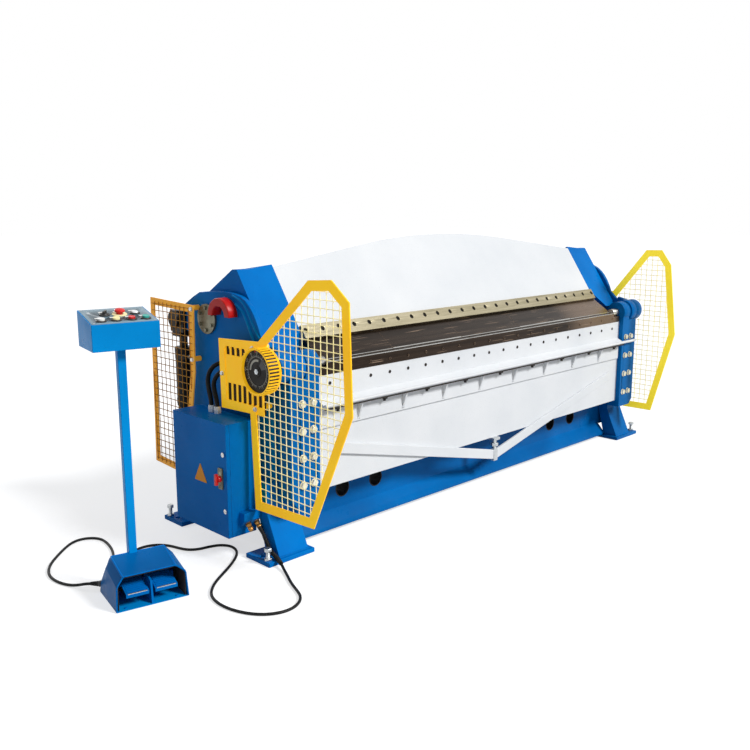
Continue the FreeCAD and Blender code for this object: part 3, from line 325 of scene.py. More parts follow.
@dataclass(frozen=True)
class Plastic:
    """One moulded plastic or rubber.

    Attributes:
        name: The material's name.
        slot: The name of its material slot; not used here.
        colour: Its colour.
        gloss: Its roughness.
        grain: The height of its moulded grain in millimetres.
        sheen: How strongly it mirrors its surroundings.
    """

    name: str
    slot: str
    colour: str
    gloss: float
    grain: float
    sheen: float = 0.5

    def material(self) -> bpy.types.Material:
        """Mix a fine grain and slightly uneven gloss.

        Returns:
            The new material.
        """
        g = NodeGraph(self.name)
        base = tone(self.colour)
        pale = tuple(min(1.0, c * 1.25 + 0.01) for c in base[:3]) + (1.0,)
        colour = g.blend(g.remap(g.noise(30, 4), 0.4, 0.7), base, pale)
        rough = g.remap(g.noise(24, 4), 0.3, 0.7, self.gloss, self.gloss + 0.12)
        g.bump(g.noise(900, 2), 0.4, self.grain * MM)
        return g.finish(colour, rough, 0.0, self.sheen)


EVEN = (1, 1, 1)


class Finish(Enum):
    """The surface finishes of the machine."""

    BLUE = Enamel("blue_enamel", "blue_paint", "0076c8", "0069b8", "032a50", 0.26, 0.35, 0, 0.04)
    # A lighter copy of the blue paint: a painted highlight, on the console and the arch ribs.
    LIT_BLUE = Enamel("lit_blue_enamel", "blue_paint", "0090dc", "0084cc", "033a66", 0.26, 0.35, 0,
                 0.06)
    # A darker copy of the blue paint: painted shade, on the right side frame, base beam, folding
    # arms and foot hood.
    SHADED_BLUE = Enamel("shaded_blue_enamel", "blue_paint", "006ab2", "005a9c", "032a50", 0.26, 0.35,
                       0, 0.05)
    WELD = Enamel("painted_weld", "blue_paint", "0072c0", "0062a8", "032a50", 0.32, 0.6, 0, 0.05)
    WHITE = Enamel("white_enamel", "white_paint", "e3e5e7", "dadde0", "9da3a8", 0.3, 0.4)
    # The yellow, lemon, pale, orange and wire paints emit a little painted light, though they are
    # no lamps.
    YELLOW = Enamel("yellow_enamel", "yellow_paint", "ffcb20", "febc14", "9c660a", 0.34, 0.45, 0.38)
    LEMON = Enamel("lemon_enamel", "yellow_paint", "ffe640", "f8dc34", "9c7a14", 0.34, 0.4, 0.45)
    PALE = Enamel("pale_yellow_enamel", "yellow_paint", "f6eebc", "efe4a8", "a08a50", 0.34, 0.3,
                  0.2)
    ORANGE = Enamel("orange_enamel", "yellow_paint", "f8b23a", "eb9f2a", "8d5410", 0.38, 0.5, 0.2)
    AMBER = Enamel("amber_plate", "yellow_paint", "f4a024", "e08c18", "5a3a10", 0.4, 0.3)
    WIRE = Enamel("wire_enamel", "wire", "fff2bc", "fbe794", "b4862a", 0.34, 0.3, 0.3)
    REAR_WIRE = Enamel("rear_wire_enamel", "wire", "c98d2c", "a9701c", "5e3c0c", 0.4, 0.4)
    RED = Enamel("red_enamel", "red_paint", "d61c14", "b4120e", "5f0a08", 0.28, 0.5)
    BLACK = Enamel("black_enamel", "black_paint", "17181b", "101114", "34353a", 0.35, 0.4)
    PANEL = Enamel("grey_panel", "grey_plastic", "93aab6", "859dab", "55697a", 0.35, 0.2)
    MOTOR = Enamel("motor_casting", "motor", "2f6f86", "27596c", "1a3c49", 0.4, 0.4)
    # The tool steel's last colour serves its polished streaks and a broad painted highlight.
    TOOL = Metal("tool_steel", "tool_steel", "46382d", "1c1612", (0.12, 6, 6), 0.2, 0.36, 0.1,
                 "c9ab90")
    STRIP = Metal("ground_strip", "bright_steel", "b3aa90", "7b745e", (0.6, 14, 14), 0.3, 0.48)
    DULL = Metal("dull_zinc", "bright_steel", "8f8e7e", "5c5b4e", EVEN, 0.34, 0.5, 0.4)
    CHROME = Metal("hard_chrome", "bright_steel", "e4e4e2", "b9b9b8", (16, 16, 1), 0.1, 0.2, 0.3)
    BRIGHT = Metal("bright_steel", "bright_steel", "d4d3cf", "9c9b98", (1, 16, 16), 0.18, 0.36,
                   0.45)
    ZINC = Metal("zinc_plate", "bright_steel", "d9dcde", "a3a8aa", EVEN, 0.24, 0.42, 0.4)
    GOLD_ZINC = Metal("yellow_zinc", "bright_steel", "f6f2e2", "cfc9b0", EVEN, 0.22, 0.38, 0.4)
    OXIDE = Metal("black_oxide", "black_steel", "4a4846", "171615", EVEN, 0.34, 0.55)
    BRONZE = Metal("bearing_bronze", "bronze", "c79350", "8d6230", EVEN, 0.25, 0.42, 0.4)
    RUBBER = Plastic("cable_rubber", "cable_rubber", "080808", 0.46, 0.12, 0.2)
    CREAM = Plastic("cream_plastic", "grey_plastic", "f8f7f1", 0.4, 0.05)
    BLACK_PLASTIC = Plastic("black_plastic", "black_plastic", "161616", 0.36, 0.05)
    RED_PLASTIC = Plastic("red_plastic", "red_plastic", "d3120f", 0.22, 0.02)
    GREEN_PLASTIC = Plastic("green_plastic", "green_plastic", "2aa79a", 0.24, 0.02)
    LAMP = Plastic("lamp_lens", "lamp_plastic", "e8eeee", 0.15, 0.01)
    DIAL = Plastic("dial_face", "black_plastic", "14110d", 0.42, 0.05, 0.15)
    INK = Plastic("white_ink", "grey_plastic", "a9a698", 0.5, 0.01)
    # Painted shade: a dull near-black for pieces that stand where there is only shade.
    SHADE = Plastic("painted_shade_black", "black_plastic", "1c120d", 0.7, 0.05)


@cache
def material_of(finish: Finish) -> bpy.types.Material:
    """Make the material of a finish at its first use."""
    return finish.value.material()


NODE_FINISHES: dict[Finish, str] = {
    Finish.BLUE: "side_frame_left bed_beam rear_tie swing_actuators clamp_ends cabinet_shell "
                 "cabinet_door oil_tank pedal_left pedal_right pedal_pin",
    # These nodes take the blue painted darker as painted shade.
    Finish.SHADED_BLUE: "side_frame_right base_beam fold_arms foot_hood",
    # The console takes the lighter blue of a painted highlight.
    Finish.LIT_BLUE: "console_box console_post",
    Finish.WHITE: "clamp_beam folding_beam fold_ledge truss_bars",
    Finish.YELLOW: "front_guard_left",
    Finish.LEMON: "front_guard_right",
    Finish.ORANGE: "rear_guards",
    Finish.AMBER: "door_plates",
    Finish.WIRE: "mesh_front_left mesh_front_right",
    Finish.REAR_WIRE: "rear_meshes",
    Finish.RED: "lifting_lugs",
    Finish.BLACK: "clamp_cylinders cabinet_hinges",
    Finish.MOTOR: "pump_motor",
    Finish.TOOL: "lower_tool upper_blades fold_blade blade_screws",
    Finish.STRIP: "hole_strip",
    Finish.DULL: "clamp_pivots",
    Finish.BRIGHT: "swing_vanes trunnions valve_block",
    Finish.ZINC: "levelling_bolts king_post",
    Finish.GOLD_ZINC: "arm_bolts",
    Finish.OXIDE: "clamp_rods ledge_nuts",
    Finish.BRONZE: "trunnion_bushes",
    Finish.RUBBER: "cabinet_conduits",
    Finish.CREAM: "cable_glands",
    Finish.BLACK_PLASTIC: "selector_knob clamp_button",
    Finish.RED_PLASTIC: "switch_handle estop_button fold_button",
    Finish.GREEN_PLASTIC: "return_button start_button",
    Finish.LAMP: "pilot_lamp",
    Finish.DIAL: "angle_dial",
}
ROUNDINGS: dict[float, str] = {
    0.4: "upper_blades lower_tool",
    0.6: "fold_blade hole_strip",
    0.8: "cabinet_shell",
    0.9: "foot_hood",
    1.0: "front_guard_left levelling_bolts cable_glands",
    1.2: "front_guard_right rear_guards selector_knob fold_button return_button clamp_button "
         "start_button",
    1.5: "fold_ledge valve_block clamp_pivots pedal_left pedal_right king_post trunnions",
    2.0: "folding_beam console_box clamp_rods switch_handle swing_actuators",
    2.5: "bed_beam rear_tie console_post pilot_lamp",
    3.0: "side_frame_left side_frame_right fold_arms truss_bars base_beam oil_tank estop_button "
         "clamp_cylinders",
    4.0: "clamp_ends lifting_lugs pump_motor",
    5.0: "cabinet_door",
}


def soften(piece: bpy.types.Object, width: float) -> None:
    """Round the sharp edges of a mesh with modifiers.

    Args:
        piece: The mesh object.
        width: The width of the rounding in millimetres.
    """
    weld = piece.modifiers.new("weld", "WELD")
    weld.merge_threshold = 0.00002
    bevel = piece.modifiers.new("rounding", "BEVEL")
    bevel.width = width * MM
    bevel.segments = 2
    bevel.limit_method = "ANGLE"
    bevel.angle_limit = math.radians(38)
    bevel.use_clamp_overlap = True
    bevel.harden_normals = True


def dress_nodes() -> None:
    """Give the CAD nodes their finishes and rounded edges."""
    nodes = frame["nodes"]
    for finish, names in NODE_FINISHES.items():
        for name in names.split():
            nodes[name].data.materials.clear()
            nodes[name].data.materials.append(material_of(finish))
    for width, names in ROUNDINGS.items():
        for name in names.split():
            soften(nodes[name], width)
    LOG.info("dressed %d nodes", len(nodes))


def mount(piece: bpy.types.Object, finish: Finish, body: str, *nodes: str) -> None:
    """Put a finished piece on the machine.

    Args:
        piece: The piece.
        finish: Its finish; not used here.
        body: The CAD body it rides on.
        *nodes: CAD nodes that it stands for.
    """
    bpy.context.scene.collection.objects.link(piece)
    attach(piece, body)
    if nodes:
        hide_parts(*nodes)
    LOG.info("made %s on %s", piece.name, body)


class MeshMaker:
    """Collects simple shapes into one mesh."""

    def __init__(self) -> None:
        """Start an empty mesh."""
        self.mesh = bmesh.new()

    def ring(self, centre: Vector, along: Vector, radius: float,
             sides: int) -> list[bmesh.types.BMVert]:
        """Add a ring of corners square to a direction.

        Args:
            centre: The ring's centre.
            along: The direction.
            radius: The ring's radius.
            sides: How many corners.

        Returns:
            The new corners.
        """
        turn = along.to_track_quat("Z", "Y")
        found = []
        for k in range(sides):
            a = 2 * math.pi * k / sides
            off = turn @ Vector((radius * math.cos(a), radius * math.sin(a), 0))
            found.append(self.mesh.verts.new(centre + off * MM))
        return found

    def skin(self, rings: list[list[bmesh.types.BMVert]], closed: bool = False) -> None:
        """Join rings of corners.

        Args:
            rings: The rings in order.
            closed: Whether the last joins the first; else both ends get a face.
        """
        count = len(rings[0])
        for a, b in zip(rings, rings[1:] + rings[:1] if closed else rings[1:]):
            for k in range(count):
                n = (k + 1) % count
                self.mesh.faces.new((a[k], a[n], b[n], b[k]))
        if not closed:
            self.mesh.faces.new(list(reversed(rings[0])))
            self.mesh.faces.new(rings[-1])

    def lathe(self, start: Vector, along: Vector, profile: list[Pair], sides: int = 24,
              hollow: bool = False) -> None:
        """Add a turned piece.

        Args:
            start: Where its axis starts.
            along: The axis direction.
            profile: Pairs of distance along the axis and radius.
            sides: How many corners round it.
            hollow: Whether the profile closes round an open middle.
        """
        along = along.normalized()
        rings = [self.ring(start + along * d * MM, along, max(r, 0.01), sides)
                 for d, r in profile]
        self.skin(rings, hollow)

    def hoop(self, start: Vector, along: Vector, profile: list[Pair], sides: int = 40) -> None:
        """Add a turned ring with an open middle, as lathe does for a solid."""
        self.lathe(start, along, profile, sides, True)

    def band(self, start: Vector, along: Vector, inner: float, outer: float, deep: float,
             sides: int = 40) -> None:
        """Add a plain ring.

        Args:
            start: Where its axis starts.
            along: The axis direction.
            inner: Its inner radius.
            outer: Its outer radius.
            deep: Its length along the axis.
            sides: How many corners round it.
        """
        self.hoop(start, along, [(0, inner), (0, outer), (deep, outer), (deep, inner)], sides)

    def swept(self, line: list[Vector], radii: list[float], sides: int) -> None:
        """Add a round piece along a line.

        Args:
            line: Its points.
            radii: The radius at each point.
            sides: How many corners round it.
        """
        last = len(line) - 1
        self.skin([self.ring(line[k], line[min(k + 1, last)] - line[max(k - 1, 0)], radius, sides)
                   for k, radius in enumerate(radii)])

    def tube(self, points: list[Vector], radius: float, sides: int = 8) -> None:
        """Add a round bar of one radius along a line of points."""
        self.swept(points, [radius] * len(points), sides)

    def weld(self, points: list[Vector], radius: float) -> None:
        """Add a weld bead with the ripples of its passes.

        Args:
            points: The line of the bead.
            radius: Its size.
        """
        line = spaced(points, radius * 0.9)
        self.swept(line, [radius * (0.86 + 0.2 * (k % 2) + 0.06 * math.sin(k * 2.4))
                          for k in range(len(line))], 7)

    def ribbed(self, points: list[Vector], radius: float, pitch: float) -> None:
        """Add a corrugated hose.

        Args:
            points: The line of the hose.
            radius: Its outer radius.
            pitch: The distance between ribs.
        """
        line = spaced(points, pitch / 4)
        self.swept(line, [radius if k % 4 in (1, 2) else radius * 0.84
                          for k in range(len(line))], 18)

    def prism(self, outline: list[Vector], depth: Vector) -> None:
        """Add a flat outline made solid by drawing it out along depth."""
        self.skin([[self.mesh.verts.new(p + off) for p in outline] for off in (depth * 0, depth)])

    def box(self, low: Point, high: Point, turn: Matrix | None = None) -> None:
        """Add a box between two corners in millimetres, with small chamfers.

        Args:
            low: Its lowest corner.
            high: Its highest corner.
            turn: Where the box's own frame is, or nothing.
        """
        turn = turn or Matrix.Identity(4)
        a, b = Vector(low) * MM, Vector(high) * MM
        cut = min(0.0012, 0.2 * min(b - a))
        outline = [(a.x + cut, a.y), (b.x - cut, a.y), (b.x, a.y + cut), (b.x, b.y - cut),
                   (b.x - cut, b.y), (a.x + cut, b.y), (a.x, b.y - cut), (a.x, a.y + cut)]
        self.prism([turn @ Vector((x, y, a.z)) for x, y in outline],
                   turn.to_3x3() @ Vector((0, 0, b.z - a.z)))

    def plate(self, outline: list[Pair], holes: list[Point], turn: Matrix, thick: float) -> None:
        """Add a flat plate with round holes, in millimetres of its own frame.

        Args:
            outline: Its corners.
            holes: Each hole's centre and radius.
            turn: Where the plate's frame is; its face looks along that frame's Z.
            thick: The thickness.
        """
        points = [Vector(p) for p in outline]
        loops = [list(range(len(points)))]
        for x, y, radius in holes:
            start = len(points)
            for k in range(HOLE_SIDES):
                a = -2 * math.pi * k / HOLE_SIDES
                points.append(Vector((x + radius * math.cos(a), y + radius * math.sin(a))))
            loops.append(list(range(start, len(points))))
        edges = [(a, b) for loop in loops for a, b in zip(loop, loop[1:] + loop[:1])]
        verts, _, faces = delaunay_2d_cdt(points, edges, [], 5, 0.001)[:3]
        low, high = [[self.mesh.verts.new(turn @ mm(v.x, v.y, z)) for v in verts]
                     for z in (0, thick)]
        for face in faces:
            self.mesh.faces.new([high[i] for i in face])
            self.mesh.faces.new([low[i] for i in reversed(face)])
        for loop in loops:
            for k, n in zip(loop, loop[1:] + loop[:1]):
                self.mesh.faces.new((low[k], low[n], high[n], high[k]))

    def hexagon(self, at: Vector, along: Vector, corner: float, height: float) -> None:
        """Add a hexagonal head or nut with chamfered corners.

        Args:
            at: The middle of its seat.
            along: Which way it stands.
            corner: Half of its width over the corners.
            height: Its height.
        """
        levels = [(0.0, 0.97), (0.1, 1.0), (0.82, 1.0), (1.0, 0.88)]
        self.lathe(at, along, [(height * d, corner * r) for d, r in levels], 6)

    def bolt(self, at: Vector, along: Vector, size: float) -> None:
        """Add a washer with a hexagon head and its domed top.

        Args:
            at: The middle of the washer's seat.
            along: Which way the head looks.
            size: The thread's diameter.
        """
        out = along.normalized() * size * MM
        self.lathe(at, along, [(0, size), (0.1 * size, size * 1.06), (0.2 * size, size)], 28)
        self.hexagon(at + out * 0.2, along, size * 0.92, size * 0.6)
        self.lathe(at + out * 0.78, along, [(0, 0.7 * size), (0.06 * size, 0.6 * size)])

    def socket(self, at: Vector, along: Vector, radius: float, height: float) -> None:
        """Add a socket head screw.

        Args:
            at: The middle of its seat.
            along: Which way the head looks.
            radius: The head's radius.
            height: The head's height.
        """
        bore = 0.52 * radius
        self.lathe(at, along, [(0, radius), (0.85 * height, radius), (height, 0.88 * radius),
                               (height, bore), (0.45 * height, bore * 0.95)], 18)

    def object(self, name: str, material: bpy.types.Material,
               smooth: float = 35.0) -> bpy.types.Object:
        """Turn the collected shapes into an object.

        Args:
            name: The object's name.
            material: Its material.
            smooth: Edges flatter than this many degrees are shaded smooth.

        Returns:
            The new object.
        """
        bmesh.ops.recalc_face_normals(self.mesh, faces=self.mesh.faces)
        data = bpy.data.meshes.new(name)
        self.mesh.to_mesh(data)
        self.mesh.free()
        data.materials.append(material)
        data.shade_smooth()
        data.set_sharp_from_angle(angle=math.radians(smooth))
        return bpy.data.objects.new(name, data)

    def piece(self, name: str, finish: Finish, body: str, *nodes: str,
              smooth: float = 35.0) -> None:
        """Finish the mesh as a piece of the machine.

        Args:
            name: Its name.
            finish: Its finish.
            body: The CAD body it rides on.
            *nodes: CAD nodes that it stands for.
            smooth: Edges flatter than this many degrees are shaded smooth.
        """
        mount(self.object(name, material_of(finish), smooth), finish, body, *nodes)


def nurbs(name: str, points: list[Point]) -> bpy.types.Curve:
    """Make a smooth curve that runs by a few control points.

    Args:
        name: Its name.
        points: The control points in metres.

    Returns:
        The curve.
    """
    data = bpy.data.curves.new(name, "CURVE")
    data.dimensions = "3D"
    line = data.splines.new("NURBS")
    line.points.add(len(points) - 1)
    for point, place in zip(line.points, points):
        point.co = (*place, 1.0)
    line.order_u = 3
    line.use_endpoint_u = True
    return data


def curve_line(points: list[Point]) -> list[Vector]:
    """Run a smooth curve by a few points and read the line back.

    Args:
        points: Its control points in metres.

    Returns:
        The line's points.
    """
    data = nurbs("guide", points)
    data.splines[0].resolution_u = 10
    guide = bpy.data.objects.new("guide", data)
    mesh = bpy.data.meshes.new_from_object(guide)
    found = [v.co.copy() for v in mesh.vertices]
    bpy.data.objects.remove(guide)
    bpy.data.curves.remove(data)
    bpy.data.meshes.remove(mesh)
    return found


def curve_mm(points: list[Point]) -> list[Vector]:
    """Do what curve_line does for points in millimetres."""
    return curve_line([mm(*p) for p in points])


def spaced(points: list[Vector], step: float) -> list[Vector]:
    """Walk along a line of points in even steps.

    Args:
        points: The line.
        step: The length of one step in millimetres.

    Returns:
        Points that far apart along it.
    """
    runs = [(b - a).length for a, b in zip(points, points[1:])]
    total = sum(runs)
    count = max(2, round(total / (step * MM)))
    found = []
    leg = 0
    passed = 0.0
    for k in range(count + 1):
        want = total * k / count
        while leg < len(runs) - 1 and passed + runs[leg] < want:
            passed += runs[leg]
            leg += 1
        share = (want - passed) / runs[leg]
        found.append(points[leg].lerp(points[leg + 1], min(max(share, 0.0), 1.0)))
    return found


def seen_ray(tree: bpy.types.NodeTree) -> bpy.types.NodeSocket:
    """Tell the rays that show the surroundings from those that light the machine.

    Args:
        tree: The nodes of the world or of the floor's material.

    Returns:
        One for a camera, glossy or transmission ray and zero for any other.
    """
    path = tree.nodes.new("ShaderNodeLightPath")
    found = path.outputs["Is Camera Ray"]
    for name in ("Is Glossy Ray", "Is Transmission Ray"):
        most = tree.nodes.new("ShaderNodeMath")
        most.operation = "MAXIMUM"
        tree.links.new(found, most.inputs[0])
        tree.links.new(path.outputs[name], most.inputs[1])
        found = most.outputs[0]
    return found


@dataclass
class Studio:
    """The camera of the photograph, a pale floor and soft light."""

    eye: Point = (-3.611, -3.119, 1.492)
    yaw: float = 45.13
    pitch: float = 11.158
    lens: float = 41.296
    ambient: float = 0.3
    key: float = 2.9
    side: float = 6.0
    rear: float = 40.0
    floor_glow: float = 0.62

    def camera(self) -> None:
        """Make the camera and choose it for the scene."""
        data = bpy.data.cameras.new("camera")
        data.lens = self.lens
        data.sensor_width = 36.0
        data.clip_start = 0.05
        data.clip_end = 60.0
        eye = bpy.data.objects.new("camera", data)
        eye.location = self.eye
        eye.rotation_euler = (math.radians(90 - self.pitch), 0.0, math.radians(self.yaw - 90))
        bpy.context.scene.collection.objects.link(eye)
        bpy.context.scene.camera = eye

    def light(self) -> None:
        """Make the sun-like key, weak fills and surroundings that look pure white."""
        world = bpy.data.worlds.new("studio")
        world.use_nodes = True
        tree = world.node_tree
        ambient = tree.nodes["Background"]
        backdrop = tree.nodes.new("ShaderNodeBackground")
        mixed = tree.nodes.new("ShaderNodeMixShader")
        tree.links.new(seen_ray(tree), mixed.inputs[0])
        for k, (ground, colour, strength) in enumerate((
                (ambient, (0.93, 0.96, 1.0, 1.0), self.ambient),
                (backdrop, (1.0, 1.0, 1.0, 1.0), 1.0))):
            ground.inputs[0].default_value = colour
            ground.inputs[1].default_value = strength
            tree.links.new(ground.outputs[0], mixed.inputs[1 + k])
        tree.links.new(mixed.outputs[0], tree.nodes["World Output"].inputs[0])
        bpy.context.scene.world = world
        self._lamp("key", (2.0, -5.0, 4.8), (0.0, 0.0, 0.6), self.key)
        self._lamp("side", (-6.5, -1.4, 3.0), (-1.4, -0.2, 0.6), self.side, 3.6)
        self._lamp("rear", (-1.9, 4.6, 3.0), (-1.4, 0.0, 0.5), self.rear, 0.6)

    @staticmethod
    def _lamp(name: str, at: Point, towards: Point, power: float, size: float = 0.0) -> None:
        """Make one soft light.

        Args:
            name: Its name.
            at: Where it stands.
            towards: What it points at.
            power: Its strength, in the unit of its kind.
            size: The side of an area light, or zero for a sun.
        """
        data = bpy.data.lights.new(name, "AREA" if size else "SUN")
        data.energy = power
        if size:
            data.size = size
        else:
            data.angle = math.radians(14)
        lamp = bpy.data.objects.new(name, data)
        lamp.location = at
        lamp.rotation_euler = (Vector(towards) - Vector(at)).to_track_quat("-Z", "Y").to_euler()
        bpy.context.scene.collection.objects.link(lamp)

    def floor(self) -> None:
        """Lay a wide pale floor."""
        maker = MeshMaker()
        corners = [(-40, -40, 0), (40, -40, 0), (40, 40, 0), (-40, 40, 0)]
        maker.mesh.faces.new([maker.mesh.verts.new(c) for c in corners])
        g = NodeGraph("pale_floor")
        colour = g.blend(g.noise(1.4, 3), tone("c9c9ca"), tone("c4c5c6"))
        shine = g.blend(seen_ray(g.tree), tone("000000"), tone("ffffff"))
        g.feed(g.shader, {"Emission Color": shine, "Emission Strength": self.floor_glow})
        floor = maker.object("floor", g.finish(colour, 0.9, 0.0, 0.0))
        bpy.context.scene.collection.objects.link(floor)


CONTROL_ROUTE: list[Point] = [
    (-1.487, -0.28304, 0.13096), (-1.487, -0.309, 0.105), (-1.488, -0.333, 0.07),
    (-1.49, -0.363, 0.042), (-1.494, -0.403, 0.033), (-1.504, -0.446, 0.02),
    (-1.521, -0.488, 0.0084), (-1.542, -0.533, 0.0068), (-1.565, -0.576, 0.0068),
    (-1.586, -0.622, 0.0068), (-1.604, -0.67, 0.0068), (-1.626, -0.718, 0.0068),
    (-1.664, -0.755, 0.0068), (-1.714, -0.775, 0.0068), (-1.768, -0.77, 0.0068),
    (-1.817, -0.742, 0.0068), (-1.853, -0.698, 0.0068), (-1.877, -0.642, 0.0068),
    (-1.888, -0.584, 0.0068), (-1.886, -0.526, 0.0068), (-1.87, -0.47, 0.0068),
    (-1.837, -0.424, 0.0068), (-1.792, -0.382, 0.0068), (-1.737, -0.344, 0.0068),
    (-1.678, -0.306, 0.0068), (-1.617, -0.262, 0.0068), (-1.564, -0.216, 0.0068),
    (-1.53, -0.166, 0.0068), (-1.522, -0.113, 0.0068), (-1.549, -0.07, 0.0068),
    (-1.596, -0.052, 0.0068), (-1.645, -0.044, 0.0068), (-1.683, -0.016, 0.0068),
    (-1.7, 0.03, 0.0068), (-1.712, 0.078, 0.0068), (-1.738, 0.122, 0.0068),
    (-1.78, 0.148, 0.0068), (-1.828, 0.15, 0.0068), (-1.874, 0.13, 0.0068),
    (-1.908, 0.094, 0.0068), (-1.93, 0.048, 0.0068), (-1.942, -0.002, 0.0068),
    (-1.95, -0.044, 0.012), (-1.95881, -0.08486, 0.022), (-1.96796, -0.12789, 0.022),
]
PEDAL_ROUTE: list[Point] = [
    (-2.06577, -0.1071, 0.022), (-2.05662, -0.06406, 0.022), (-2.046, -0.014, 0.012),
    (-2.024, 0.032, 0.0068), (-1.998, 0.076, 0.0068), (-1.968, 0.12, 0.0068),
    (-1.94, 0.166, 0.0068), (-1.918, 0.218, 0.0068), (-1.903, 0.27, 0.0068),
    (-1.893, 0.322, 0.0068), (-1.892, 0.372, 0.0068), (-1.918, 0.415, 0.0068),
    (-1.964, 0.433, 0.0068), (-2.013, 0.417, 0.0068), (-2.056, 0.383, 0.0068),
    (-2.099, 0.343, 0.0068), (-2.141, 0.301, 0.0068), (-2.18, 0.257, 0.0068),
    (-2.211, 0.208, 0.0068), (-2.231, 0.158, 0.0068), (-2.238, 0.106, 0.0068),
    (-2.233, 0.056, 0.0068), (-2.218, 0.008, 0.008), (-2.199, -0.03, 0.014),
    (-2.17385, -0.05715, 0.022), (-2.14266, -0.08842, 0.022),
]


@dataclass
class Cable:
    """One black cable that lies on the floor.

    Attributes:
        name: The piece's name.
        node: The CAD node that it stands for.
        route: Its control points in metres.
        length: Its real length in metres; not used here.
        diameter: Its thickness in metres.
    """

    name: str
    node: str
    route: list[Point]
    length: float
    diameter: float = 0.012

    def build(self) -> None:
        data = nurbs(self.name, self.route)
        data.splines[0].resolution_u = 8
        data.bevel_depth = self.diameter / 2
        data.bevel_resolution = 4
        data.use_fill_caps = True
        data.materials.append(material_of(Finish.RUBBER))
        piece = bpy.data.objects.new(self.name, data)
        bpy.context.scene.collection.objects.link(piece)
        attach(piece, "frame")
        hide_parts(self.node)
        LOG.info("laid %s", self.name)


def crossings(outline: list[Pair], level: float, axis: int) -> list[float]:
    """Find where a level line crosses an outline.

    Args:
        outline: Corners of the outline.
        level: The line's constant coordinate.
        axis: Which coordinate is constant.

    Returns:
        The other coordinate of each crossing, in order.
    """
    found = []
    other = 1 - axis
    for a, b in zip(outline, outline[1:] + outline[:1]):
        if (a[axis] - level) * (b[axis] - level) < 0:
            t = (level - a[axis]) / (b[axis] - a[axis])
            found.append(a[other] + t * (b[other] - a[other]))
    return sorted(found)


def inset(outline: list[Pair], depth: float) -> list[Pair]:
    """Move every side of an outline inwards.

    Args:
        outline: Corners of the outline in either order.
        depth: How far.

    Returns:
        The corners of the smaller outline.
    """
    area = sum(a[0] * b[1] - b[0] * a[1] for a, b in zip(outline, outline[1:] + outline[:1]))
    side = 1 if area > 0 else -1
    count = len(outline)
    moved = []
    for k in range(count):
        before, here, after = (Vector(outline[(k + d) % count]) for d in (-1, 0, 1))
        n1, n2 = (Vector((-run.y, run.x)).normalized() * side
                  for run in (here - before, after - here))
        moved.append(tuple(here + (n1 + n2) / (1 + n1.dot(n2)) * depth))
    return moved


AXIS = (-372.0, 834.0)


@dataclass(frozen=True)
class Net:
    """One welded wire net in a plane across X.

    Attributes:
        node: The CAD node that it stands for.
        name: The piece's name.
        outline: Corners of its frame as (y, z) in millimetres.
        planes: The X places of the net, one for each copy.
        finish: Its finish.
        clear: Radius kept free round the swing axis, or zero.
        blank: An area covered by sheet, or nothing.
        margin: How far the wires end inside the frame's outline.
        pitch: The distance between wires along Y and Z.
        wire: The radius of a wire.
    """

    node: str
    name: str
    outline: list[Pair]
    planes: tuple[float, ...]
    finish: Finish
    clear: float = 0.0
    blank: list[Pair] | None = None
    margin: float = 14.0
    pitch: Pair = (36.0, 32.0)
    wire: float = 1.9

    def build(self) -> None:
        """Weave the net from its outline."""
        maker = MeshMaker()
        edge = inset(self.outline, self.margin)
        for axis in (0, 1):
            level = min(p[axis] for p in edge) + self.pitch[axis] * 0.6
            while level < max(p[axis] for p in edge):
                for span in self._spans(edge, level, axis):
                    for x in self.planes:
                        depth = x + (0.9 if axis else -0.9)
                        ends = [(level, a) if axis == 0 else (a, level) for a in span]
                        maker.tube([mm(depth, *end) for end in ends], self.wire, 6)
                level += self.pitch[axis]
        maker.piece(self.name, self.finish, "frame", self.node, smooth=60)

    def _spans(self, edge: list[Pair], level: float, axis: int) -> list[Pair]:
        """Find the stretches of one wire.

        Args:
            edge: Where wires end at the frame.
            level: The wire's constant coordinate.
            axis: Which coordinate is constant.

        Returns:
            Pairs of start and end.
        """
        hits = crossings(edge, level, axis)
        spans = list(zip(hits[::2], hits[1::2]))
        bars = crossings(self.blank or [], level, axis)
        cuts = list(zip(bars[::2], bars[1::2]))
        off = abs(level - AXIS[axis])
        if off < self.clear:
            half = math.sqrt(self.clear ** 2 - off ** 2)
            cuts.append((AXIS[1 - axis] - half, AXIS[1 - axis] + half))
        for c0, c1 in cuts:
            spans = [part for a, b in spans
                     for part in ([(a, b)] if c1 <= a or c0 >= b else [(a, c0), (c1, b)])]
        return [(a, b) for a, b in spans if b - a > 8]


NETS = (
    Net("mesh_front_left", "net_front_left",
        [(-45, 931), (-324, 945), (-643, 1215), (-772, 1224), (-868, 1148), (-883, 724),
         (-656, 230), (-278, 216), (-259, 634), (-53, 627)], (-1495.0,), Finish.WIRE, 95.0,
        [(-44, 932), (-324, 946), (-350, 946), (-350, 634), (-259, 634), (-52, 626)]),
    Net("mesh_front_right", "net_front_right",
        [(-60, 931), (-236, 943), (-454, 1216), (-557, 1219), (-622, 1131), (-676, 700),
         (-545, 196), (-350, 194), (-350, 400), (-259, 634), (-60, 627)], (1460.0,),
        Finish.WIRE, 74.0),
    Net("rear_meshes", "nets_rear",
        [(190, 1050), (555, 1062), (575, 246), (330, 232), (227, 579), (196, 744)],
        (-1474.0, 1474.0), Finish.REAR_WIRE),
)


def left_face(x: float, y: float, z: float) -> Matrix:
    """Place the frame of a flat piece that looks to the left, its X towards the operator.

    Args:
        x: Its place along X in millimetres.
        y: Its place along Y in millimetres.
        z: Its height in millimetres.

    Returns:
        The frame.
    """
    turn = Matrix(((0, 0, -1), (-1, 0, 0), (0, 1, 0))).to_4x4()
    return Matrix.Translation(mm(x, y, z)) @ turn


